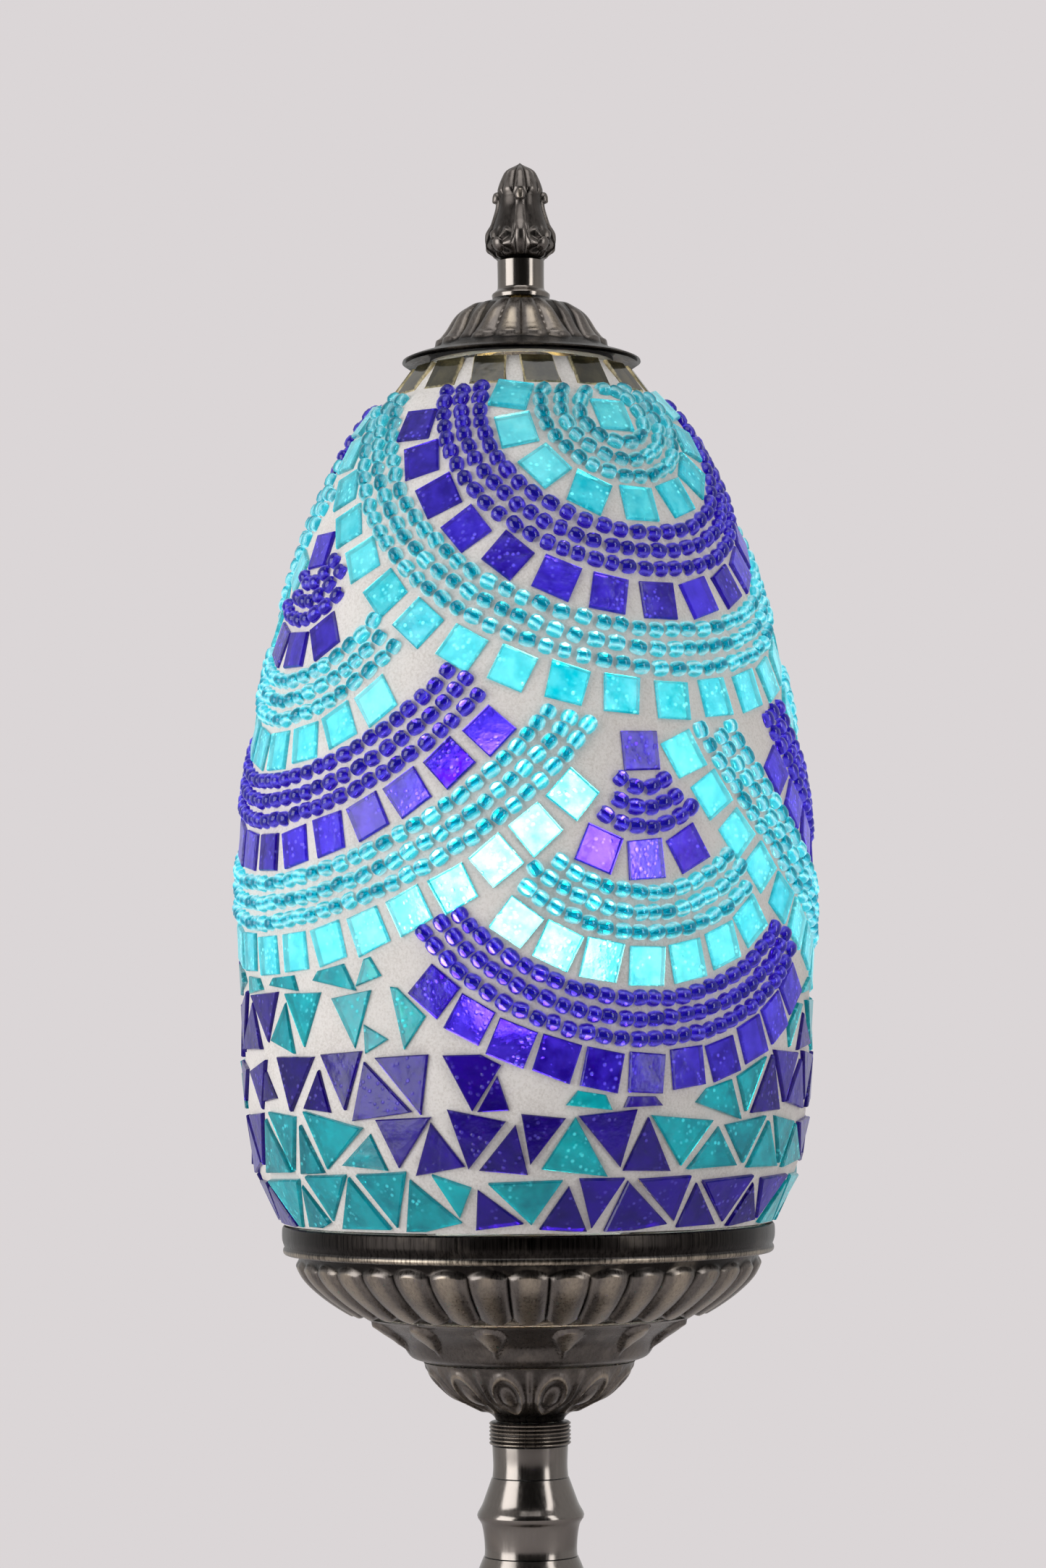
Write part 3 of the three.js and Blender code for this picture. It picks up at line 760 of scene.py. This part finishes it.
def build_harp():
    other_side = [(-x, z) for x, z in HARP_SIDE[::-1]]
    path = smooth(HARP_SIDE + [(0, 441)] + other_side, 2.5)
    verts, faces = swept(path, HARP_WIRE, 16)
    wire = add_mesh("harp_loop_shape", "stand", "brass", LOOKS["brass"], verts, faces)
    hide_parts("harp_loop")


# ---- the shade's surface

SHADE_OUTLINE = [
    (66.3, 202.5), (69.9, 210.2), (73.6, 219.9), (76.3, 240), (76.8, 262), (77.6, 288), (76.6, 310),
    (74.3, 327.5), (70.6, 347.2), (65.8, 367), (59.4, 386.7), (51, 406.5), (42, 421), (35.4, 426.4),
    (31.4, 431.3), (29.4, 433.9),
]
SURFACE = np.array(smooth(SHADE_OUTLINE, 0.5))
CLIMB = distances(SURFACE)
SURFACE_NORMAL = outward(SURFACE)
FULL_CLIMB = float(CLIMB[-1])
FLAT_RADIUS = 75.0


def radius_at(climb):
    return float(np.interp(climb, CLIMB, SURFACE[:, 0]))


def normal_at(climb):
    """How far the surface's unit normal points away from the axis and upwards."""
    return [float(np.interp(climb, CLIMB, SURFACE_NORMAL[:, k])) for k in (0, 1)]


def ahead(azimuth, radius, level):
    """The point at that azimuth, so far from the axis and so high."""
    return Vector((radius * sin(azimuth), -radius * cos(azimuth), level))


def surface_point(azimuth, climb, lift=0.0):
    """The point at that azimuth and climb, `lift` mm outside the mosaic's face."""
    out, up = normal_at(climb)
    level = float(np.interp(climb, CLIMB, SURFACE[:, 1]))
    return ahead(azimuth, radius_at(climb) + lift * out, level + lift * up)


def surface_axes(azimuth, climb):
    """Unit vectors across, up and out of the surface."""
    out = ahead(azimuth, *normal_at(climb)).normalized()
    across = Vector((cos(azimuth), sin(azimuth), 0))
    return across, out.cross(across), out


def turn_gap(a, b):
    """The azimuth from b to a, the short way round."""
    return (a - b + pi) % TURN - pi


def offset_between(a, b):
    """Millimetres across and up the surface from place a to place b."""
    mean_radius = (radius_at(a[1]) + radius_at(b[1])) / 2
    return turn_gap(b[0], a[0]) * mean_radius, b[1] - a[1]


# ---- the mosaic's layout

TILE = 10.0
TILE_STEP = 12.0
TILE_GAP = 0.2
TILE_WANDER = 0.3
TILE_TWIST = 4.0  # degrees, as the other twists
FAN_MARGIN = 1.2
ROW_PITCH = 27.0
FIRST_ROW = 28.2
BEAD_PITCH = 5.15
BEAD_RADIUS = 2.2
BEAD_LENGTHS = (3.2, 4.4)
BEAD_GAP = -0.35  # beads on one thread may press into each other
BEAD_WANDER = 0.25
BEAD_TWIST = 14.0
GRID_CELL = 14.0
CROWN_START = 234.0
CROWN_TILES = 15
CROWN_HALF_WIDTH = 4.7
CROWN_GAP = 0.1
SKIRT_ROWS = 6
SKIRT_ROW = 15.8
SKIRT_OVERLAP = 1.2
SKIRT_STEP = 9.7
SKIRT_GAP = 2.3
SKIRT_TOP = 100.0
SKIRT_SHIFT = 0.37  # of a step, from one row to the next
SKIRT_TWIST = 13.0
CUT_GAP = 0.5
TRIM_SCALES = (1, 0.94, 0.88, 0.82, 0.76, 0.7)
SMALLEST_CUT = 14.0  # square millimetres
OFFCUT_TRIES = 1500
OFFCUT_REACH = (5.5, 7.5)


def wander(reach):
    """A random step of up to `reach` to either side."""
    return rng.uniform(-reach, reach)


class Bit:
    """One tile, triangle or bead: a convex outline around a place on the surface."""

    def __init__(self, kind, colour, place, outline, heading=0.0):
        self.kind = kind
        self.colour = colour
        self.place = place
        self.heading = heading
        self.outline = outline
        self.tone = rng.random()
        self.reach = max(hypot(*corner) for corner in outline)

    def depth_of(self, point):
        """How far a surface place lies outside this outline, in mm; negative if inside."""
        x, y = offset_between(self.place, point)
        return max(
            ((x - ax) * (by - ay) - (y - ay) * (bx - ax)) / hypot(bx - ax, by - ay)
            for (ax, ay), (bx, by) in pairs(self.outline)
        )

    def probes(self):
        """Places on the outline's corners and edges, and the middle."""
        middles = [((a[0] + b[0]) / 2, (a[1] + b[1]) / 2) for a, b in pairs(self.outline)]
        radius = radius_at(self.place[1])
        for x, y in [(0, 0)] + self.outline + middles:
            yield self.place[0] + x / radius, self.place[1] + y


def spun(outline, heading):
    """An outline turned anticlockwise by `heading` in the surface."""
    c, s = cos(heading), sin(heading)
    return [(x * c - y * s, x * s + y * c) for x, y in outline]


class Board:
    """The bits laid so far, and a grid to find those near a place."""

    def __init__(self):
        self.bits = []
        self.cells = {}

    def cell(self, place):
        return round(place[0] * FLAT_RADIUS / GRID_CELL), round(place[1] / GRID_CELL)

    def near(self, place):
        column, row = self.cell(place)
        columns = round(TURN * FLAT_RADIUS / GRID_CELL)
        for dc in (-2, -1, 0, 1, 2):
            for dr in (-1, 0, 1):
                for shift in (-columns, 0, columns):
                    yield from self.cells.get((column + dc + shift, row + dr), ())

    def fits(self, bit, gap):
        for other in self.near(bit.place):
            if hypot(*offset_between(other.place, bit.place)) > other.reach + bit.reach + gap:
                continue
            if any(other.depth_of(p) < gap for p in bit.probes()):
                return False
            if any(bit.depth_of(p) < gap for p in other.probes()):
                return False
        return True

    def lay(self, bit, gap):
        """Adds the bit if it keeps `gap` mm from all others, and says whether it did."""
        free = self.fits(bit, gap)
        if free:
            self.bits.append(bit)
            self.cells.setdefault(self.cell(bit.place), []).append(bit)
        return free


class Fan:
    """Rows of tiles and beads around a centre; a fan laid earlier covers the later ones."""

    def __init__(self, azimuth, climb, *rows):
        self.centre = (radians(azimuth), climb)
        self.rows = rows
        self.reach = self.ring(len(rows)) + TILE / 2 + FAN_MARGIN

    def ring(self, number):
        """Radius of a row of tiles, counted from 1; the tile at the centre is row 0."""
        return FIRST_ROW + (number - 1) * ROW_PITCH

    def holds(self, place):
        return hypot(*offset_between(self.centre, place)) < self.reach

    def place(self, ring, angle):
        """The place `ring` mm from the centre; angle 0 is straight down."""
        climb = self.centre[1] - ring * cos(angle)
        mean = (radius_at(max(climb, 0)) + radius_at(self.centre[1])) / 2
        return self.centre[0] + ring * sin(angle) / mean, climb


FANS = [
    Fan(32, 221, "cyan", "blue", "cyan"),
    Fan(-148, 221, "cyan", "blue", "cyan"),
    Fan(-61, 183, "blue", "cyan", "blue", "cyan"),
    Fan(114, 174, "blue", "cyan", "blue", "cyan"),
    Fan(23.5, 125, "blue", "cyan", "blue"),
    Fan(-158, 125, "blue", "cyan", "blue"),
]


def tile_angles(ring):
    """Angles to both sides of straight down, so that the tiles' inner corners clear each other."""
    step = max(TILE_STEP, (TILE + 0.5) * ring / (ring - TILE / 2))
    half = [step * i / ring for i in range(round(pi * ring / step))]
    return half + [-angle for angle in half[1:]]


def tile_bit(colour, place, heading):
    """A hand-cut square: its corners wander a little and it sits slightly askew."""
    half = TILE / 2
    corners = [(-half, -half), (half, -half), (half, half), (-half, half)]
    cut = [(x + wander(TILE_WANDER), y + wander(TILE_WANDER)) for x, y in corners]
    return Bit("tile", colour, place, spun(cut, heading + radians(wander(TILE_TWIST))), heading)


def bead_bit(colour, place, heading, length):
    """A bead seen from above: an oval as long as the bead and as wide as it is thick."""
    turns = [TURN * i / 8 for i in range(8)]
    oval = [(length / 2 * cos(a), BEAD_RADIUS * sin(a)) for a in turns]
    tilt = heading + radians(wander(BEAD_TWIST))
    return Bit("bead", colour, place, spun(oval, tilt), tilt)


def is_open(place, above, margin):
    """Whether a place lies below the crown and outside every fan laid earlier."""
    inside = 2 < place[1] < CROWN_START - margin
    return inside and not any(fan.holds(place) for fan in above)


def lay_tiles(board, fan, above, ring, colour):
    for angle in tile_angles(ring):
        place = fan.place(ring + wander(TILE_WANDER), angle)
        if is_open(place, above, TILE / 2):
            board.lay(tile_bit(colour, place, angle), TILE_GAP)


def lay_beads(board, fan, above, ring, colour):
    """Beads of uneven length strung to both sides of straight down."""
    for side in (1, -1):
        walked = 0.2
        while walked < pi * ring:
            length = rng.uniform(*BEAD_LENGTHS)
            angle = side * (walked + length / 2) / ring
            place = fan.place(ring + wander(BEAD_WANDER), angle)
            if is_open(place, above, BEAD_RADIUS):
                board.lay(bead_bit(colour, place, angle, length), BEAD_GAP)
            walked += length + rng.uniform(0.15, 0.8)


def lay_fan(board, fan, above):
    for number, colour in enumerate(fan.rows, 1):
        lay_tiles(board, fan, above, fan.ring(number), colour)
    for number, colour in enumerate(fan.rows, 1):
        middle = fan.ring(number) - ROW_PITCH / 2
        for offset in (-BEAD_PITCH, 0, BEAD_PITCH):
            lay_beads(board, fan, above, middle + offset, colour)


def clipped(outline, place, allowed):
    """The part of a convex outline that lies where `allowed` says so."""
    radius = radius_at(place[1])

    def open_at(x, y):
        return allowed((place[0] + x / radius, place[1] + y))

    kept = []
    for a, b in pairs(outline):
        if open_at(*a):
            kept.append(a)
        if open_at(*a) != open_at(*b):
            low, high = 0.0, 1.0
            for _ in range(12):
                middle = (low + high) / 2
                x, y = a[0] + (b[0] - a[0]) * middle, a[1] + (b[1] - a[1]) * middle
                low, high = (middle, high) if open_at(x, y) == open_at(*a) else (low, middle)
            kept.append((x, y))
    return kept


def area(outline):
    return 0.5 * sum(a[0] * b[1] - a[1] * b[0] for a, b in pairs(outline))


def zigzag(row):
    """Places around the shade that alternate between a skirt row's lower and upper edge."""
    low = SKIRT_ROW * row - SKIRT_OVERLAP / 2
    high = low + SKIRT_ROW + SKIRT_OVERLAP
    radius = radius_at(max(0, (low + high) / 2))
    count = 2 * round(pi * radius / SKIRT_STEP)
    for i in range(count):
        azimuth = TURN * (i + SKIRT_SHIFT * row + wander(0.33)) / count
        yield azimuth, (high if i % 2 else low) + wander(2.1)


def cut_triangle(corners):
    """The middle of three places and a triangle that keeps half a gap from their connecting lines."""
    azimuth = corners[1][0]
    climb = sum(corner[1] for corner in corners) / 3
    flat = [Vector(offset_between((azimuth, climb), corner)) for corner in corners]
    sides = [(flat[(i + 1) % 3] - flat[(i + 2) % 3]).length for i in range(3)]
    double_area = abs((flat[1] - flat[0]).cross(flat[2] - flat[0]))
    centre = sum((point * side for point, side in zip(flat, sides)), Vector((0, 0))) / sum(sides)
    scale = 1 - SKIRT_GAP / 2 * sum(sides) / double_area
    place = azimuth + centre.x / radius_at(climb), climb + centre.y
    shape = [tuple((point - centre) * scale) for point in flat]
    return place, shape if area(shape) > 0 else shape[::-1]


def lay_trimmed(board, colour, place, shape):
    """Lays a piece of the skirt, cut down in a few steps if it touches what is there."""
    for scale in TRIM_SCALES:
        smaller = [(x * scale, y * scale) for x, y in shape]
        if len(shape) > 2 and area(smaller) > SMALLEST_CUT:
            if board.lay(Bit("skirt", colour, place, smaller), CUT_GAP):
                return


def in_skirt(place):
    return 0.6 < place[1] < SKIRT_TOP and not any(fan.holds(place) for fan in FANS)


def skirt_colour(place, row):
    drift = sin(3 * place[0] + 1.9 * row) + wander(0.9)
    return "blue" if drift > -0.15 else "cyan"


def lay_skirt(board):
    """Triangles cut from zigzag rows, point up and point down by turns, wherever no fan reaches."""
    for row in range(SKIRT_ROWS):
        path = list(zigzag(row))
        for corners in zip(path, path[1:] + path[:1], path[2:] + path[:2]):
            place, shape = cut_triangle(corners)
            shape = clipped(spun(shape, radians(wander(SKIRT_TWIST))), place, in_skirt)
            lay_trimmed(board, skirt_colour(place, row), place, shape)


def lay_offcuts(board):
    """Small three-sided pieces wherever the rows leave enough bare grout."""
    for _ in range(OFFCUT_TRIES):
        place = (rng.uniform(0, TURN), rng.uniform(4, SKIRT_TOP))
        heading = rng.uniform(0, TURN)
        corners = [heading + TURN / 3 * i + wander(0.35) for i in range(3)]
        reach = rng.uniform(*OFFCUT_REACH)
        shape = clipped([(reach * cos(a), reach * sin(a)) for a in corners], place, in_skirt)
        lay_trimmed(board, skirt_colour(place, 0), place, shape)


def lay_crown(board):
    """One ring of smoky tiles, each a little narrower at its top."""
    climb = (CROWN_START + FULL_CLIMB) / 2
    tall = (FULL_CLIMB - CROWN_START) / 2 - 0.3
    for i in range(CROWN_TILES):
        place = (TURN * (i + 0.42 + wander(0.05)) / CROWN_TILES, climb)
        wide = CROWN_HALF_WIDTH + wander(0.3)
        lean = wander(0.9)
        shape = [(-wide, -tall), (wide, -tall), (wide * 0.92 + lean, tall), (-wide * 0.92 + lean, tall)]
        board.lay(Bit("crown", "crown", place, shape), CROWN_GAP)


def lay_mosaic():
    board = Board()
    lay_crown(board)
    for number, fan in enumerate(FANS):
        if not any(other.holds(fan.centre) for other in FANS[:number]):
            board.lay(tile_bit(fan.rows[0], fan.centre, 0), TILE_GAP)
    for number, fan in enumerate(FANS):
        lay_fan(board, fan, FANS[:number])
    lay_skirt(board)
    lay_offcuts(board)
    return board.bits


# ---- the mosaic's meshes

TILE_LIFT = 0.25
GROUT_LIFT = -0.55
GLASS_LIFT = -3.1
CHAMFER = 0.45
SLAB_TILT = 0.025
SLAB_SECTION = [
    (GLASS_LIFT, 0.1), (TILE_LIFT - CHAMFER, 0), (TILE_LIFT, CHAMFER), (TILE_LIFT + 0.02, CHAMFER + 0.9),
]


class Batch:
    """Many small solids of one look, gathered into one mesh."""

    def __init__(self):
        self.verts, self.faces = [], []
        self.values = {"tone": []}

    def add(self, verts, faces, tone, **values):
        start = len(self.verts)
        self.verts += verts
        self.faces += [tuple(start + i for i in face) for face in faces]
        for key, numbers in {"tone": [tone] * len(verts), **values}.items():
            self.values.setdefault(key, []).extend(numbers)


def add_slab(batch, bit):
    """A flat piece of glass with chamfered upper edges, seated on the clear shade."""
    across, up, out = surface_axes(*bit.place)
    tilt = Vector((wander(SLAB_TILT), wander(SLAB_TILT)))
    origin = surface_point(*bit.place)
    corners = [Vector(corner) for corner in bit.outline]
    middle = sum(corners, Vector((0, 0))) / len(corners)
    verts = []
    for lift, shrink in SLAB_SECTION:
        for corner in corners:
            flat = corner + (middle - corner).normalized() * shrink
            verts.append(origin + across * flat.x + up * flat.y + out * (lift + tilt.dot(flat)))
    count = len(corners)
    faces = [tuple(range(count))[::-1], tuple(range(3 * count, 4 * count))]
    faces += quads(pairs(range(count)), neighbours(range(0, 4 * count, count)))
    # The edge value marks a slab's sides and chamfer, where the looks paint shade on the tiles and a painted
    # glint on the crown.
    batch.add(verts, faces, bit.tone, edge=[1.0] * (2 * count) + [0.75] * count + [0.0] * count)


BEAD_HOLE = 0.5
BEAD_LIFT = -0.45
BEAD_TURNS = 10
BEAD_RINGS = 8
BEAD_SWELL = 0.12


def add_bead(batch, bit):
    """A round bead threaded along its row, its hole left open."""
    across, up, out = surface_axes(*bit.place)
    along = across * cos(bit.heading) + up * sin(bit.heading)
    beside = out.cross(along)
    origin = surface_point(*bit.place, BEAD_LIFT)
    mid = (BEAD_RADIUS + BEAD_HOLE) / 2
    thick = (BEAD_RADIUS - BEAD_HOLE) / 2
    half_length = max(Vector(corner).length for corner in bit.outline[::4])
    size = 1 + BEAD_SWELL * (bit.tone - 0.5)
    verts, stripe = [], []
    for i in range(BEAD_TURNS):
        around = TURN * i / BEAD_TURNS
        for j in range(BEAD_RINGS):
            section = TURN * j / BEAD_RINGS
            radius = (mid + thick * cos(section)) * size
            shift = half_length * sin(section)
            side, height = radius * cos(around), radius * sin(around)
            verts.append(origin + along * shift + beside * side + out * height)
            stripe.append(side / BEAD_RADIUS)
    faces = quads(pairs(range(0, len(verts), BEAD_RINGS)), pairs(range(BEAD_RINGS)))
    batch.add(verts, faces, bit.tone, across=stripe)


# Each kind's piece, look and CAD node; the braces hold the bit's colour.
KINDS = {
    "tile": ("tiles_{}", "{}_glass", "mosaic_waves"),
    "bead": ("beads_{}", "{}_bead", "mosaic_waves"),
    # The skirt's looks are darker copies of the tiles' glass, painted shade.
    "skirt": ("skirt_{}", "skirt_{}", "mosaic_skirt"),
    "crown": ("{}_tiles", "{}_glass", "mosaic_crown"),
}


def side_of(bit):
    """Beads are many, so the left and the right half are separate pieces."""
    if bit.kind != "bead":
        return ""
    return "_left" if turn_gap(bit.place[0], 0) < 0 else "_right"


def build_glass(bits):
    batches = {}
    for bit in bits:
        batch = batches.setdefault((bit.kind, bit.colour, side_of(bit)), Batch())
        (add_bead if bit.kind == "bead" else add_slab)(batch, bit)
    for (kind, colour, side), batch in batches.items():
        name, look, node = (word.format(colour) for word in KINDS[kind])
        crease = 60 if kind == "bead" else 20
        shape = batch.verts, batch.faces, batch.values, crease
        piece = add_mesh(name + side, "shade", f"{colour}_glass", LOOKS[look], *shape)
        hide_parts(node)


GROUT_GRID = 3.4
BEAD_SEAT = 1.45
TILE_SEAT_SHARE = 0.985
HOLE_MARGIN = 0.3
SEAM = 1e-4


def seat_outline(bit):
    """The hole that a bit's seat leaves in the grout, in flat coordinates."""
    radius = radius_at(bit.place[1])
    shrink = BEAD_SEAT / BEAD_RADIUS if bit.kind == "bead" else TILE_SEAT_SHARE
    azimuth, climb = turn_gap(bit.place[0], 0), bit.place[1]
    return [((azimuth + shrink * x / radius) * FLAT_RADIUS, climb + shrink * y) for x, y in bit.outline]


def build_grout(bits):
    """A sheet of grout with a hole for every tile and bead, from a constrained triangulation."""
    half = pi * FLAT_RADIUS
    columns = round(2 * half / GROUT_GRID)
    rows = round(FULL_CLIMB / GROUT_GRID)
    points = []
    for i in range(columns + 1):
        points += [Vector((-half + 2 * half * i / columns, FULL_CLIMB * j / rows)) for j in range(rows + 1)]
    border = [0, columns * (rows + 1), columns * (rows + 1) + rows, rows]
    outlines = [border]
    for bit in bits:
        hole = seat_outline(bit)
        if all(abs(x) < half - HOLE_MARGIN and HOLE_MARGIN < y < FULL_CLIMB - HOLE_MARGIN for x, y in hole):
            outlines.append(list(range(len(points), len(points) + len(hole))))
            points += [Vector(p) for p in hole]
    verts, _, faces, _, _, sources = delaunay_2d_cdt(points, [], outlines, 0, 1e-5)
    kept = [face for face, source in zip(faces, sources) if list(source) == [0]]
    return grout_solid(verts, kept, half)


def grout_solid(flat, triangles, half):
    """Wraps flat triangles onto the shade and gives them the grout's thickness."""
    seam = {round(p.y, 3): i for i, p in enumerate(flat) if p.x < -half + SEAM}
    merged = [seam.get(round(p.y, 3), i) if p.x > half - SEAM else i for i, p in enumerate(flat)]
    used = sorted({merged[i] for face in triangles for i in face})
    index = {old: new for new, old in enumerate(used)}
    triangles = [tuple(index[merged[i]] for i in face) for face in triangles]
    count = len(used)
    verts = []
    for lift in (GROUT_LIFT, GLASS_LIFT):
        verts += [surface_point(flat[i].x / FLAT_RADIUS, flat[i].y, lift) for i in used]
    edges = {edge for face in triangles for edge in pairs(face)}
    walls = [(b, a, a + count, b + count) for a, b in sorted(edges) if (b, a) not in edges]
    inner = [tuple(i + count for i in face[::-1]) for face in triangles]
    return verts, triangles + inner + walls, [0.0] * count + [1.0] * count


def build_mosaic():
    bits = lay_mosaic()
    build_glass(bits)
    verts, faces, inner = build_grout(bits)
    sheet = add_mesh("grout_sheet", "shade", "grout", LOOKS["grout"], verts, faces, {"inner": inner})
    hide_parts("mosaic_skirt", "mosaic_waves", "mosaic_crown")


# ---- studio

BACKGROUND = (0.708, 0.672, 0.680)
CAMERA_PLACE = Vector((-0.0005, -1.137, 0.2589))
CAMERA_PITCH = radians(3.12)
CAMERA_ROLL = radians(0.46)
CAMERA_LENS = 96.35


def build_camera():
    data = bpy.data.cameras.new("camera")
    data.lens = CAMERA_LENS
    camera = into_scene("camera", data)
    aim = Matrix.Rotation(pi / 2 + CAMERA_PITCH, 4, "X") @ Matrix.Rotation(-CAMERA_ROLL, 4, "Z")
    camera.matrix_world = Matrix.Translation(CAMERA_PLACE) @ aim
    bpy.context.scene.camera = camera


def add_softbox(name, place, size, power):
    data = bpy.data.lights.new(name, "AREA")
    data.shape = "RECTANGLE"
    data.size, data.size_y = size
    data.energy = power
    lamp = into_scene(name, data)
    lamp.location = place
    lamp.rotation_euler = (LIT_MIDDLE - Vector(place)).to_track_quat("-Z", "Y").to_euler()
    lamp.visible_camera = False


STUDIO_FRONT = (0.03, 0.02955, 0.0294)
STUDIO_BACK = (0.62, 0.6107, 0.6076)


def build_world():
    """The camera sees an even pale backdrop; everything else sees a studio, dark in front."""
    world = bpy.data.worlds.new("studio")
    bpy.context.scene.world = world
    world.use_nodes = True
    world.node_tree.nodes.clear()
    nodes = Nodes(world.node_tree)
    direction = nodes.add("TexCoord").outputs["Generated"]
    backwards = nodes.add("SeparateXYZ", {0: direction}).outputs["Y"]
    stops = (0.2, STUDIO_FRONT), (0.95, STUDIO_BACK)
    tone = nodes.ramp(nodes.maths("ADD", backwards, 1.0), *stops, interpolation="EASE")
    studio = nodes.add("Background", {"Color": tone})
    backdrop = nodes.add("Background", {"Color": (*BACKGROUND, 1)})
    seen = nodes.add("LightPath").outputs["Is Camera Ray"]
    choice = nodes.add("MixShader", {0: seen, 1: studio.outputs[0], 2: backdrop.outputs[0]})
    nodes.add("OutputWorld", {"Surface": choice.outputs[0]})


FLOOR_RADIUS = 800.0
LIT_MIDDLE = Vector((0, 0, 0.28))


def build_stage():
    rim = [(0, -8), (FLOOR_RADIUS - 6, -8), (FLOOR_RADIUS, -4), (FLOOR_RADIUS - 4, -0.5), (0, 0)]
    verts, faces, _ = turned(rim, [], FINE)
    look = plain_look("pale_floor", (0.66, 0.63, 0.635), (0.64, 0.61, 0.615), 0.75, 60, 0.02)
    floor = new_object("floor", look, verts, faces)
    floor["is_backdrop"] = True
    add_softbox("softbox_left", (-1.02, -0.62, 0.42), (0.85, 1.1), 14)
    add_softbox("softbox_right", (0.83, -0.64, 0.5), (0.28, 1.0), 4.2)
    add_softbox("top_light", (0, -0.5, 1.4), (0.9, 0.9), 5)


# ---- the whole scene

bpy.context.scene.view_settings.view_transform = "Standard"
build_camera()
build_world()
build_stage()
paint_cad_nodes()
build_foot()
build_stem()
build_gallery()
build_harp()
build_bulb()
build_mosaic()
build_cap()
build_finial()

bounds = {"cad": cad_bounds, "visual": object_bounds()}
{key: [list(corner) for corner in box] for key, box in bounds.items()}
